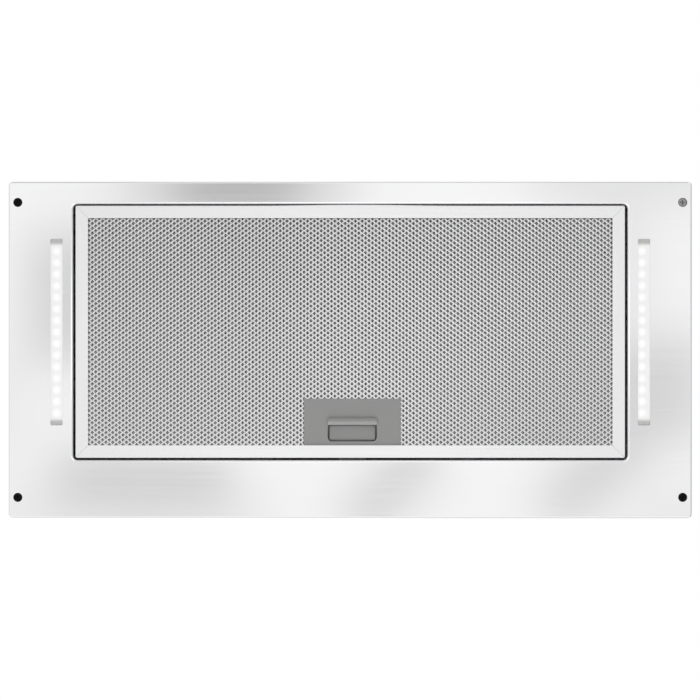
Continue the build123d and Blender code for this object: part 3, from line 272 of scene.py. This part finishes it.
def satinAluminium(name, along):
    # rolled channel with a dull sheen and faint rolling lines along it
    colour, rough = filterAlloy["colour"], filterAlloy["roughness"]
    material, tree, shader = startMaterial(name, colour, Metallic=1.0)
    scratch = streaks(tree, along, filterAlloy["grain"])
    gloss = addNode(tree, "ShaderNodeMapRange", {}, {
        "Value": scratch.outputs["Fac"], **noiseSpan,
        "To Min": rough - filterAlloy["contrast"], "To Max": rough + filterAlloy["contrast"]})
    tint = addNode(tree, "ShaderNodeMix", {"data_type": "RGBA"}, {
        "Factor": scratch.outputs["Fac"], 6: linear(colour),
        7: shade(colour, 1 - filterAlloy["darker"])})
    dulled = foldDulled(tree, gloss, filterAlloy["foldDulling"])
    finishMaterial(tree, shader, {"Base Color": tint.outputs[2], "Roughness": dulled.outputs[0]})
    return material


# painted light: middle is a painted highlight and end is painted shade towards the hook's ends; even is the
# half width kept at the highlight
hookShadedAlloy = {"middle": "#fafafa", "end": "#8c8c8d", "roughness": 0.1, "contrast": 0.05, "grain": (60, 1.6),
             "even": 5 * mm}


def shadedHookAluminium(name):
    # the pressed hook: a painted highlight across its middle and painted shade, grey towards its ends, for
    # the light and shade of the gap it lies in
    material, tree, shader = startMaterial(name, hookShadedAlloy["middle"], Metallic=1.0)
    coords = addNode(tree, "ShaderNodeTexCoord")
    split = addNode(tree, "ShaderNodeSeparateXYZ", {}, {0: coords.outputs["Object"]})
    aside = addNode(tree, maths, {"operation": "ABSOLUTE"}, {0: split.outputs["X"]})
    paintedShadeShare = addNode(tree, "ShaderNodeMapRange", {"interpolation_type": "SMOOTHSTEP"}, {
        "Value": aside.outputs[0], "From Min": hookShadedAlloy["even"],
        "From Max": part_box("filter_rear_hook")[1].x})
    tint = addNode(tree, "ShaderNodeMix", {"data_type": "RGBA"}, {
        "Factor": paintedShadeShare.outputs[0], 6: linear(hookShadedAlloy["middle"]), 7: linear(hookShadedAlloy["end"])})
    scratch = streaks(tree, "X", hookShadedAlloy["grain"])
    gloss = addNode(tree, "ShaderNodeMapRange", {}, {
        "Value": scratch.outputs["Fac"], "To Min": hookShadedAlloy["roughness"] - hookShadedAlloy["contrast"],
        "To Max": hookShadedAlloy["roughness"] + hookShadedAlloy["contrast"]})
    finishMaterial(tree, shader, {"Base Color": tint.outputs[2], "Roughness": gloss.outputs[0]})
    return material


mouldSkin = {"ior": 1.5, "drift": 40.0 * mm, "contrast": 0.08, "bump": 0.12, "depth": 0.08 * mm}


def moulded(name, colour, roughness, grainSize, variation=0.06):
    # fine spark-eroded grain of a mould, with a slight drift in tone
    material, tree, shader = startMaterial(name, colour, IOR=mouldSkin["ior"])
    coords = addNode(tree, "ShaderNodeTexCoord")
    grain = addNode(tree, "ShaderNodeTexNoise", {}, {
        "Vector": coords.outputs["Object"], "Scale": 1 / (grainSize * mm), "Detail": 2.0})
    drift = addNode(tree, "ShaderNodeTexNoise", {}, {
        "Vector": coords.outputs["Object"], "Scale": 1 / mouldSkin["drift"], "Detail": 2.0})
    tint = addNode(tree, "ShaderNodeMix", {"data_type": "RGBA"}, {
        "Factor": drift.outputs["Fac"], 6: shade(colour, 1 + variation), 7: shade(colour, 1 - variation)})
    gloss = addNode(tree, "ShaderNodeMapRange", {}, {
        "Value": grain.outputs["Fac"], "To Min": roughness - mouldSkin["contrast"],
        "To Max": roughness + mouldSkin["contrast"]})
    bump = addNode(tree, "ShaderNodeBump", {}, {
        "Height": grain.outputs["Fac"], "Strength": mouldSkin["bump"], "Distance": mouldSkin["depth"]})
    finishMaterial(tree, shader, {
        "Base Color": tint.outputs[2], "Roughness": gloss.outputs[0], "Normal": bump.outputs[0]})
    return material


# the bolt's dark colour is painted shade: the bolt lies in the dark gap in front of the filter
latchPlastic = {"moulding": ("#8c8c8c", 0.5, 0.5, 0.02), "boltPaintedShade": "#2a2a2b", "boltEdge": 2 * mm}


def boltShadedAbs(name):
    # the latch's own grey, painted dark on the bolt that leaves the frame, as painted shade for the gap it
    # lies in
    material = moulded(name, *latchPlastic["moulding"])
    tree = material.node_tree
    shader = tree.nodes["Principled BSDF"]
    plain = shader.inputs["Base Color"].links[0].from_socket
    coords = addNode(tree, "ShaderNodeTexCoord")
    split = addNode(tree, "ShaderNodeSeparateXYZ", {}, {0: coords.outputs["Object"]})
    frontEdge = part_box("filter_rail_front")[0].y
    boltShadeMask = addNode(tree, maths, {"operation": "LESS_THAN"}, {
        0: split.outputs["Y"], 1: frontEdge + latchPlastic["boltEdge"]})
    tint = addNode(tree, "ShaderNodeMix", {"data_type": "RGBA"}, {
        "Factor": boltShadeMask.outputs[0], 6: plain, 7: linear(latchPlastic["boltPaintedShade"])})
    finishMaterial(tree, shader, {"Base Color": tint.outputs[2]})
    return material


# inside is painted light: a far paler zinc on the casing's inner faces, standing in for light inside the
# closed hood
zincCoat = {"colour": "#b4b8bb", "inside": "#eef0f1", "skin": 0.4 * mm, "crystal": 7.0 * mm,
            "warp": 5.0 * mm, "bend": 0.004, "tones": (0.9, 1.06), "gloss": (0.38, 0.5)}


def spangledZinc(name):
    # hot-dip galvanised sheet: small crystals of zinc, each with its own tone and gloss;
    # outside the air has dulled it; inside it is painted much paler, as painted light for the dark inside of
    # the casing
    colour, insidePaintedLight = zincCoat["colour"], zincCoat["inside"]
    dark, pale = zincCoat["tones"]
    material, tree, shader = startMaterial(name, colour, Metallic=1.0)
    coords = addNode(tree, "ShaderNodeTexCoord")
    warp = addNode(tree, "ShaderNodeTexNoise", {}, {
        "Vector": coords.outputs["Object"], "Scale": 1 / zincCoat["warp"], "Detail": 3.0})
    bent = addNode(tree, "ShaderNodeMix", {"data_type": "VECTOR"}, {
        "Factor": zincCoat["bend"], 4: coords.outputs["Object"], 5: warp.outputs["Color"]})
    crystals = addNode(tree, "ShaderNodeTexVoronoi", {}, {
        "Vector": bent.outputs[1], "Scale": 1 / zincCoat["crystal"]})
    single = addNode(tree, "ShaderNodeSeparateColor", {}, {"Color": crystals.outputs["Color"]})
    tint = addNode(tree, "ShaderNodeMix", {"data_type": "RGBA"}, {
        "Factor": single.outputs[0], 6: shade(colour, dark), 7: shade(colour, pale)})
    gloss = addNode(tree, "ShaderNodeMapRange", {}, {
        "Value": single.outputs[1], "To Min": zincCoat["gloss"][0], "To Max": zincCoat["gloss"][1]})
    low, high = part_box("casing_top")  # the deck lies between the walls, so its sides are their inner faces
    split = addNode(tree, "ShaderNodeSeparateXYZ", {}, {0: coords.outputs["Object"]})
    inside = addNode(tree, maths, {"operation": "LESS_THAN"}, {
        0: split.outputs["Z"], 1: high.z - zincCoat["skin"]})
    for axis in (0, 1):
        within = addNode(tree, maths, {"operation": "COMPARE"}, {
            0: split.outputs[axis], 1: (low[axis] + high[axis]) / 2,
            2: (high[axis] - low[axis]) / 2 + zincCoat["skin"]})
        inside = addNode(tree, maths, {"operation": "MULTIPLY"}, {
            0: inside.outputs[0], 1: within.outputs[0]})
    # painted light: the paler crystals of the inner faces
    insidePaintedLightTint = addNode(tree, "ShaderNodeMix", {"data_type": "RGBA"}, {
        "Factor": single.outputs[0], 6: shade(insidePaintedLight, dark), 7: shade(insidePaintedLight, pale)})
    coat = addNode(tree, "ShaderNodeMix", {"data_type": "RGBA"}, {
        "Factor": inside.outputs[0], 6: tint.outputs[2], 7: insidePaintedLightTint.outputs[2]})
    finishMaterial(tree, shader, {"Base Color": coat.outputs[2], "Roughness": gloss.outputs[0]})
    return material


platedSkin = {"mottle": 2.5 * mm, "contrast": 0.08}


def plated(name, colour, roughness):
    # bright metal skin, faintly mottled where it has been handled
    material, tree, shader = startMaterial(name, colour, Metallic=1.0)
    coords = addNode(tree, "ShaderNodeTexCoord")
    mottle = addNode(tree, "ShaderNodeTexNoise", {}, {
        "Vector": coords.outputs["Object"], "Scale": 1 / platedSkin["mottle"], "Detail": 3.0})
    gloss = addNode(tree, "ShaderNodeMapRange", {}, {
        "Value": mottle.outputs["Fac"], "To Min": roughness - platedSkin["contrast"],
        "To Max": roughness + platedSkin["contrast"]})
    finishMaterial(tree, shader, {"Roughness": gloss.outputs[0]})
    return material


# paintedHighlightGrey is a painted highlight on the rear left screw head
screwFinish = {"black": "#050505", "paintedHighlightGrey": "#98989a", "sheen": 0.15, "roughness": (0.5, 0.7),
               "oil": 1.2 * mm}


def blackOxide(name):
    # blackened screw heads with a dull oil sheen; the rear left one is painted grey, a painted highlight on
    # it
    material, tree, shader = startMaterial(
        name, screwFinish["black"], Specular_IOR_Level=screwFinish["sheen"])
    coords = addNode(tree, "ShaderNodeTexCoord")
    split = addNode(tree, "ShaderNodeSeparateXYZ", {}, {"Vector": coords.outputs["Object"]})
    left = addNode(tree, maths, {"operation": "LESS_THAN"}, {0: split.outputs["X"], 1: 0.0})
    rear = addNode(tree, maths, {"operation": "GREATER_THAN"}, {0: split.outputs["Y"], 1: 0.0})
    both = addNode(tree, maths, {"operation": "MULTIPLY"}, {0: left.outputs[0], 1: rear.outputs[0]})
    tint = addNode(tree, "ShaderNodeMix", {"data_type": "RGBA"}, {
        "Factor": both.outputs[0], 6: linear(screwFinish["black"]), 7: linear(screwFinish["paintedHighlightGrey"])})
    oil = addNode(tree, "ShaderNodeTexNoise", {}, {
        "Vector": coords.outputs["Object"], "Scale": 1 / screwFinish["oil"], "Detail": 2.0})
    gloss = addNode(tree, "ShaderNodeMapRange", {}, {
        "Value": oil.outputs["Fac"], "To Min": screwFinish["roughness"][0],
        "To Max": screwFinish["roughness"][1]})
    finishMaterial(tree, shader, {"Base Color": tint.outputs[2], "Roughness": gloss.outputs[0]})
    return material


chipLight = {"colour": "#fff3d8", "light": "#fff7ea", "roughness": 0.5, "strength": 2.2}


def litPhosphor(name):
    # yellow phosphor under a clear drop, burnt out by its own light
    material, _, shader = startMaterial(name, chipLight["colour"], Roughness=chipLight["roughness"])
    shader.inputs["Emission Color"].default_value = linear(chipLight["light"])
    shader.inputs["Emission Strength"].default_value = chipLight["strength"]
    return material


# pastLast is a share of the chips' pitch; leftShift moves the painted spots on the left cover a little nearer
# the filter than its chips
lensPaintedGlow = {"colour": "#bababa", "roughness": 0.35, "ior": 1.49, "chips": 15, "between": 0.385, "spot": 0.16,
            "spotSize": 5.2 * mm, "pastLast": 0.4, "fade": 4.0 * mm, "leftShift": 1.8 * mm}


def frostedAcrylic(name):
    # milky cover with painted glow: its emission stands in for the chips' light shining through, a soft round
    # spot over each chip, and its unlit ends stay grey
    material, tree, shader = startMaterial(
        name, lensPaintedGlow["colour"], Roughness=lensPaintedGlow["roughness"], IOR=lensPaintedGlow["ior"])
    low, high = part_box("led_chips_right")
    chip = high.x - low.x
    first, last = low.y + chip / 2, high.y - chip / 2
    pitch = (last - first) / (lensPaintedGlow["chips"] - 1)
    litHalf = (last - first) / 2 + pitch * lensPaintedGlow["pastLast"]
    coords = addNode(tree, "ShaderNodeTexCoord")
    split = addNode(tree, "ShaderNodeSeparateXYZ", {}, {0: coords.outputs["Object"]})
    side = addNode(tree, maths, {"operation": "ABSOLUTE"}, {0: split.outputs["X"]})
    left = addNode(tree, maths, {"operation": "LESS_THAN"}, {0: split.outputs["X"], 1: 0.0})
    moved = addNode(tree, maths, {"operation": "MULTIPLY_ADD"}, {
        0: left.outputs[0], 1: lensPaintedGlow["leftShift"], 2: side.outputs[0]})
    across = addNode(tree, maths, {"operation": "SUBTRACT"}, {0: moved.outputs[0], 1: (low.x + high.x) / 2})
    along = addNode(tree, maths, {"operation": "SUBTRACT"}, {0: split.outputs["Y"], 1: first - pitch})
    near = addNode(tree, maths, {"operation": "PINGPONG"}, {0: along.outputs[0], 1: pitch / 2})
    flat = addNode(tree, "ShaderNodeCombineXYZ", {}, {0: across.outputs[0], 1: near.outputs[0]})
    away = addNode(tree, "ShaderNodeVectorMath", {"operation": "LENGTH"}, {0: flat.outputs[0]})
    spot = addNode(tree, "ShaderNodeMapRange", {"interpolation_type": "SMOOTHSTEP"}, {
        "Value": away.outputs["Value"], "From Min": 0.0, "From Max": lensPaintedGlow["spotSize"],
        "To Min": lensPaintedGlow["between"] + lensPaintedGlow["spot"], "To Max": lensPaintedGlow["between"]})
    middle = addNode(tree, maths, {"operation": "SUBTRACT"}, {0: split.outputs["Y"], 1: (first + last) / 2})
    reach = addNode(tree, maths, {"operation": "ABSOLUTE"}, {0: middle.outputs[0]})
    lit = addNode(tree, "ShaderNodeMapRange", {"interpolation_type": "SMOOTHSTEP"}, {
        "Value": reach.outputs[0], "From Min": litHalf, "From Max": litHalf + lensPaintedGlow["fade"],
        "To Min": 1.0, "To Max": 0.0})
    paintedGlow = addNode(tree, maths, {"operation": "MULTIPLY"}, {0: spot.outputs[0], 1: lit.outputs[0]})
    shader.inputs["Emission Color"].default_value = (1, 1, 1, 1)
    finishMaterial(tree, shader, {"Emission Strength": paintedGlow.outputs[0]})
    return material


boardLacquer = {"roughness": 0.4, "ior": 1.5, "field": 24.0 * mm, "track": 0.03}  # track: share of a field


def solderMask(name, colour, trace):
    # lacquered board with faint tracks under the lacquer
    material, tree, shader = startMaterial(
        name, colour, Roughness=boardLacquer["roughness"], IOR=boardLacquer["ior"])
    coords = addNode(tree, "ShaderNodeTexCoord")
    tracks = addNode(tree, "ShaderNodeTexBrick", {}, {
        "Vector": coords.outputs["Object"], "Color1": linear(colour), "Color2": linear(colour),
        "Mortar": linear(trace), "Scale": 1 / boardLacquer["field"],
        "Mortar Size": boardLacquer["track"]})
    finishMaterial(tree, shader, {"Base Color": tracks.outputs["Color"]})
    return material


# moulded is given colour, roughness, grain in mm and drift in tone, plated colour and roughness
finishes = {
    "stainless_fascia": satinStainless("satinStainless"),
    "galvanised_casing": spangledZinc("galvanisedSteel"),
    "plated_fasteners": plated("zincPlatedSteel", "#c6c8cc", 0.32),
    "rivet_aluminium": plated("rivetAluminium", "#cfd1d2", 0.4),
    "black_screws": blackOxide("blackOxideSteel"),
    "black_nylon": moulded("blackNylon", "#1c1c1d", 0.5, 0.6),
    "white_moulding": moulded("whitePolycarbonate", "#e6e6e3", 0.42, 0.6, 0.02),
    "led_board": solderMask("whiteSolderMask", "#ecece8", "#dcdcd6"),
    "led_chips": litPhosphor("litPhosphor"),
    "clear_lens": frostedAcrylic("frostedAcrylic"),
    "filter_aluminium": satinAluminium("satinAluminium", "X"),
    "mesh_aluminium": plated("expandedAluminium", "#ececed", 0.26),
    "latch_grey": moulded("greyAbs", *latchPlastic["moulding"]),
    "spring_steel": plated("springSteel", "#b4b6b9", 0.3),
    "scroll_moulding": moulded("greyPolypropylene", "#3a3d40", 0.48, 0.8),
    "impeller_moulding": moulded("blackPolypropylene", "#2a2b2d", 0.45, 0.8),
    "motor_alloy": plated("castAluminium", "#a9abad", 0.5),
    "rubber": moulded("blackRubber", "#1a1a1a", 0.75, 0.7),
    "control_moulding": moulded("ivoryAbs", "#d8d7d1", 0.45, 0.6, 0.02),
    "circuit_board": solderMask("greenSolderMask", "#1f6b3f", "#2f8a55"),
    "capacitor_case": moulded("whitePolypropylene", "#e2e1da", 0.4, 0.6, 0.02),
}
sideAluminium = satinAluminium("satinAluminiumAcross", "Y")
shadedInnerAluminium = plated("innerAluminiumPaintedShade", "#cccccd", 0.4)  # inner sheets are a darker copy of the face's aluminium, painted shade for the hollow behind the face
ownFinishes = {"filter_rail_left": sideAluminium, "filter_rail_right": sideAluminium,
               "filter_rear_hook": shadedHookAluminium("shadedHookAluminium"),
               "latch_slider": boltShadedAbs("boltShadedAbs")}
slotOf = {part["node"]: part["material_slot"] for part in frame["record"]["subparts"]}
for name, node in nodes.items():
    node.data.materials.clear()
    node.data.materials.append(ownFinishes.get(name, finishes[slotOf[name]]))
print("materials set on", len(nodes), "nodes")


# expanded aluminium mesh of the filter

faceMesh = {"pitchX": 6.0 * mm, "pitchY": 4.27 * mm, "strand": 1.5 * mm, "sheet": 0.4 * mm, "tilt": 24.0,
            "bond": 1.0 * mm, "lift": 0.15 * mm}  # lift keeps it clear of the rails' lip
coreMesh = {**faceMesh, "stretch": 1.004, "shiftY": 0.47 * mm}  # a second sheet, slightly out of step
innerMesh = {"pitchX": 9.4 * mm, "pitchY": 6.6 * mm, "strand": 1.5 * mm, "sheet": 0.3 * mm, "tilt": 24.0,
             "bond": 1.3 * mm, "bayReach": 0.0}  # ends at the housing, clear of the latch's way back
backMesh = {"pitchX": 12.0 * mm, "pitchY": 8.54 * mm, "strand": 1.9 * mm, "sheet": 0.5 * mm, "tilt": 5.0,
            "bond": 1.8 * mm}
strandOverlap = 0.3  # strands run into a bond by this share of it
freeEdge = {"columns": 0.8, "rows": 1}  # left free along the rails
oddShift = 0.5  # every other row stands half a column further


def sheetDepth(size):
    tilt = math.radians(size["tilt"])
    return size["strand"] * math.sin(tilt) + size["sheet"] * math.cos(tilt)


def knotMesh(name, size):
    # a bond with its two strands, which run to the bonds of the next row
    shape = bmesh.new()
    tilt = math.radians(size["tilt"])
    for side in (-1, 1):
        start = Vector((side * size["bond"] / 2, 0, 0))
        end = Vector((side * (size["pitchX"] - size["bond"]) / 2, size["pitchY"] / 2, 0))
        run = (end - start).normalized()
        across = Vector((-run.y, run.x, 0)) * side
        lean = across * math.cos(tilt) + Vector((0, 0, 1)) * math.sin(tilt)
        rise = run.cross(lean).normalized()
        rings = []
        overlap = run * size["bond"] * strandOverlap
        for point in (start - overlap, end + overlap):
            rings.append([
                shape.verts.new(point + lean * a * size["strand"] / 2 + rise * b * size["sheet"] / 2)
                for a, b in ((-1, -1), (1, -1), (1, 1), (-1, 1))])
        for i in range(4):
            j = (i + 1) % 4
            shape.faces.new((rings[0][i], rings[0][j], rings[1][j], rings[1][i]))
        shape.faces.new(rings[0][::-1])
        shape.faces.new(rings[1])
    bmesh.ops.recalc_face_normals(shape, faces=shape.faces)
    mesh = bpy.data.meshes.new(name)
    shape.to_mesh(mesh)
    shape.free()
    knot = bpy.data.objects.new(name, mesh)
    bpy.context.scene.collection.objects.link(knot)
    return knot


def latticeTree():
    tree = bpy.data.node_groups.new("expandedLattice", "GeometryNodeTree")
    tree.is_modifier = True
    for name, kind in (("Geometry", "NodeSocketGeometry"), ("Knot", "NodeSocketObject"),
                       ("Columns", "NodeSocketInt"), ("Rows", "NodeSocketInt"),
                       ("Pitch X", "NodeSocketFloat"), ("Pitch Y", "NodeSocketFloat"),
                       ("Centre", "NodeSocketVector"), ("Bay Low", "NodeSocketVector"),
                       ("Bay High", "NodeSocketVector"), ("Finish", "NodeSocketMaterial")):
        tree.interface.new_socket(name, in_out="INPUT", socket_type=kind)
    tree.interface.new_socket("Geometry", in_out="OUTPUT", socket_type="NodeSocketGeometry")
    given = addNode(tree, "NodeGroupInput").outputs
    count = addNode(tree, maths, {"operation": "MULTIPLY"}, {0: given["Columns"], 1: given["Rows"]})
    line = addNode(tree, "GeometryNodeMeshLine", {}, {"Count": count.outputs[0]})
    index = addNode(tree, "GeometryNodeInputIndex")
    row = addNode(tree, maths, {"operation": "DIVIDE"}, {0: index.outputs[0], 1: given["Columns"]})
    row = addNode(tree, maths, {"operation": "FLOOR"}, {0: row.outputs[0]})
    column = addNode(tree, maths, {"operation": "MODULO"}, {0: index.outputs[0], 1: given["Columns"]})
    odd = addNode(tree, maths, {"operation": "MODULO"}, {0: row.outputs[0], 1: 2.0})
    shifted = addNode(tree, maths, {"operation": "MULTIPLY_ADD"}, {
        0: odd.outputs[0], 1: oddShift, 2: column.outputs[0]})
    halfColumns = addNode(tree, maths, {"operation": "MULTIPLY_ADD"}, {
        0: given["Columns"], 1: 0.5, 2: (oddShift - 1) / 2})  # odd rows end half a column further
    halfRows = addNode(tree, maths, {"operation": "DIVIDE"}, {0: given["Rows"], 1: 2.0})
    fromLeft = addNode(tree, maths, {"operation": "SUBTRACT"}, {
        0: shifted.outputs[0], 1: halfColumns.outputs[0]})
    fromFront = addNode(tree, maths, {"operation": "SUBTRACT"}, {0: row.outputs[0], 1: halfRows.outputs[0]})
    x = addNode(tree, maths, {"operation": "MULTIPLY"}, {0: fromLeft.outputs[0], 1: given["Pitch X"]})
    halfPitch = addNode(tree, maths, {"operation": "DIVIDE"}, {0: given["Pitch Y"], 1: 2.0})
    y = addNode(tree, maths, {"operation": "MULTIPLY"}, {0: fromFront.outputs[0], 1: halfPitch.outputs[0]})
    place = addNode(tree, "ShaderNodeCombineXYZ", {}, {"X": x.outputs[0], "Y": y.outputs[0]})
    place = addNode(tree, "ShaderNodeVectorMath", {"operation": "ADD"}, {
        0: place.outputs[0], 1: given["Centre"]})
    points = addNode(tree, "GeometryNodeSetPosition", {}, {
        "Geometry": line.outputs[0], "Position": place.outputs[0]})
    here = addNode(tree, "ShaderNodeSeparateXYZ", {}, {"Vector": place.outputs[0]})
    low = addNode(tree, "ShaderNodeSeparateXYZ", {}, {"Vector": given["Bay Low"]})
    high = addNode(tree, "ShaderNodeSeparateXYZ", {}, {"Vector": given["Bay High"]})
    inside = None
    for axis in ("X", "Y"):  # bonds in the latch's bay are left out
        above = addNode(tree, maths, {"operation": "GREATER_THAN"}, {
            0: here.outputs[axis], 1: low.outputs[axis]})
        below = addNode(tree, maths, {"operation": "LESS_THAN"}, {
            0: here.outputs[axis], 1: high.outputs[axis]})
        both = addNode(tree, maths, {"operation": "MULTIPLY"}, {0: above.outputs[0], 1: below.outputs[0]})
        inside = both if inside is None else addNode(
            tree, maths, {"operation": "MULTIPLY"}, {0: inside.outputs[0], 1: both.outputs[0]})
    kept = addNode(tree, "GeometryNodeDeleteGeometry", {"domain": "POINT"}, {
        "Geometry": points.outputs[0], "Selection": inside.outputs[0]})
    knot = addNode(tree, "GeometryNodeObjectInfo", {}, {"Object": given["Knot"]})
    placed = addNode(tree, "GeometryNodeInstanceOnPoints", {}, {
        "Points": kept.outputs[0], "Instance": knot.outputs["Geometry"]})
    whole = addNode(tree, "GeometryNodeRealizeInstances", {}, {"Geometry": placed.outputs[0]})
    finished = addNode(tree, "GeometryNodeSetMaterial", {}, {
        "Geometry": whole.outputs[0], "Material": given["Finish"]})
    addNode(tree, "NodeGroupOutput", {}, {"Geometry": finished.outputs[0]})
    return tree


def bakeNodes(name, tree, values):
    # runs a node tree on an empty mesh and keeps the result as a plain mesh
    holder = bpy.data.objects.new(name + "Holder", bpy.data.meshes.new(name + "Holder"))
    bpy.context.scene.collection.objects.link(holder)
    modifier = holder.modifiers.new("nodes", "NODES")
    modifier.node_group = tree
    sockets = {item.name: item.identifier for item in tree.interface.items_tree if item.in_out == "INPUT"}
    for key, value in values.items():
        modifier[sockets[key]] = value
    graph = bpy.context.evaluated_depsgraph_get()
    mesh = bpy.data.meshes.new_from_object(holder.evaluated_get(graph))
    holder.modifiers.remove(modifier)
    bpy.data.objects.remove(holder)
    piece = bpy.data.objects.new(name, mesh)
    bpy.context.scene.collection.objects.link(piece)
    return piece


def expandedSheet(name, tree, size, node, z, finish):
    low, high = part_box(node)
    bayLow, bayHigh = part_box("latch_housing")
    reach = Vector((size["pitchX"] / 2, size["pitchY"] / 2, 0)) * size.get("bayReach", 1.0)
    stretch = size.get("stretch", 1.0)
    columns = int((high.x - low.x) / (size["pitchX"] * stretch) - freeEdge["columns"])
    rows = int(2 * (high.y - low.y) / size["pitchY"]) - freeEdge["rows"]
    knot = knotMesh(name + "Knot", size)
    piece = bakeNodes(name, tree, {
        "Knot": knot, "Columns": columns, "Rows": rows,
        "Pitch X": size["pitchX"] * stretch, "Pitch Y": size["pitchY"],
        "Centre": ((low.x + high.x) / 2, (low.y + high.y) / 2 + size.get("shiftY", 0.0), z),
        "Bay Low": bayLow + reach, "Bay High": bayHigh - reach, "Finish": finish})
    bpy.data.objects.remove(knot)
    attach(piece, "filter")
    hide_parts(node)
    print(name, len(piece.data.polygons), "faces")


def makeFilterMeshes():
    tree = latticeTree()
    coreLow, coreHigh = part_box("filter_core_layers")
    backLow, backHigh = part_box("filter_back_mesh")
    rise = sheetDepth(faceMesh) / 2 + faceMesh["lift"]
    expandedSheet("expandedFace", tree, faceMesh, "filter_face_mesh",
                  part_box("filter_face_mesh")[0].z + rise, finishes["mesh_aluminium"])
    expandedSheet("expandedCore", tree, coreMesh, "filter_core_layers",
                  coreLow.z + sheetDepth(coreMesh) / 2, shadedInnerAluminium)
    expandedSheet("expandedInner", tree, innerMesh, "filter_core_layers",
                  coreHigh.z - sheetDepth(innerMesh) / 2, shadedInnerAluminium)
    expandedSheet("expandedBack", tree, backMesh, "filter_back_mesh",
                  (backLow.z + backHigh.z) / 2, shadedInnerAluminium)


makeFilterMeshes()


# pieces whose shape a plain solid only comes near to

mergeDistance = 0.001 * mm


def mergedCopy(node, axis, cuts):
    # a CAD node's own mesh, merged and cut across an axis so that it can be bent
    shape = bmesh.new()
    shape.from_mesh(nodes[node].data)
    bmesh.ops.remove_doubles(shape, verts=shape.verts, dist=mergeDistance)
    for cut in cuts:
        everything = shape.verts[:] + shape.edges[:] + shape.faces[:]
        bmesh.ops.bisect_plane(shape, geom=everything, plane_co=axis * cut, plane_no=axis)
    return shape


def standIn(name, shape, body, node, finish):
    mesh = bpy.data.meshes.new(name)
    shape.to_mesh(mesh)
    shape.free()
    mesh.materials.append(finish)
    piece = bpy.data.objects.new(name, mesh)
    bpy.context.scene.collection.objects.link(piece)
    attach(piece, body)
    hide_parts(node)
    print(name, len(mesh.polygons), "faces")


rearRail = {"bow": 0.8 * mm, "middle": -6 * mm, "reach": 95 * mm, "wall": 4 * mm, "cuts": 24}


def makeRearRail():
    # the rear rail's outer wall bows out at its middle, so the gap behind it narrows there
    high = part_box("filter_rail_rear")[1]
    steps = [2 * i / rearRail["cuts"] - 1 for i in range(rearRail["cuts"] + 1)]
    shape = mergedCopy("filter_rail_rear", Vector((1, 0, 0)),
                       [rearRail["middle"] + rearRail["reach"] * step for step in steps])
    for vert in shape.verts:
        if vert.co.y > high.y - rearRail["wall"]:
            away = min(1.0, abs(vert.co.x - rearRail["middle"]) / rearRail["reach"])
            vert.co.y += rearRail["bow"] * (1 + math.cos(math.pi * away)) / 2
    standIn("rearRail", shape, "filter", "filter_rail_rear", finishes["filter_aluminium"])


latchGrip = {
    # in mm; ridge is the line across it, as y and z
    "ridge": ((-66.0, -9.35), (-65.5, -9.4), (-64.8, -9.95), (-63.9, -10.5), (-63.1, -10.84),
              (-62.3, -10.95), (-61.2, -10.85), (-60.2, -10.6), (-59.6, -10.2), (-59.0, -9.6)),
    "ridgeTop": -9.5, "floor": (-78.9, -66.8), "floorZ": -7.8, "floorRise": 1.2, "floorCuts": 6,
    "tolerance": 0.01,
}


def makeLatchGrip():
    # a rounded finger ridge, and a well that gets deeper towards it
    line = latchGrip["ridge"]
    front, rear = latchGrip["floor"]
    near, steps = latchGrip["tolerance"], latchGrip["floorCuts"]
    floorSteps = [front + (rear - front) * i / steps for i in range(1, steps)]
    cuts = [y * mm for y, z in line[1:-1]] + [y * mm for y in floorSteps]
    shape = mergedCopy("latch_slider", Vector((0, 1, 0)), cuts)
    for vert in shape.verts:
        y, z = vert.co.y / mm, vert.co.z / mm
        if z < latchGrip["ridgeTop"]:
            for (y0, z0), (y1, z1) in zip(line, line[1:]):
                if y0 - near <= y <= y1 + near:
                    vert.co.z = (z0 + (z1 - z0) * (y - y0) / (y1 - y0)) * mm
        elif abs(z - latchGrip["floorZ"]) < near and front - near <= y <= rear + near:
            vert.co.z += latchGrip["floorRise"] * ((y - front) / (rear - front)) ** 2 * mm
    standIn("latchGrip", shape, "latch", "latch_slider", ownFinishes["latch_slider"])


makeRearRail()
makeLatchGrip()
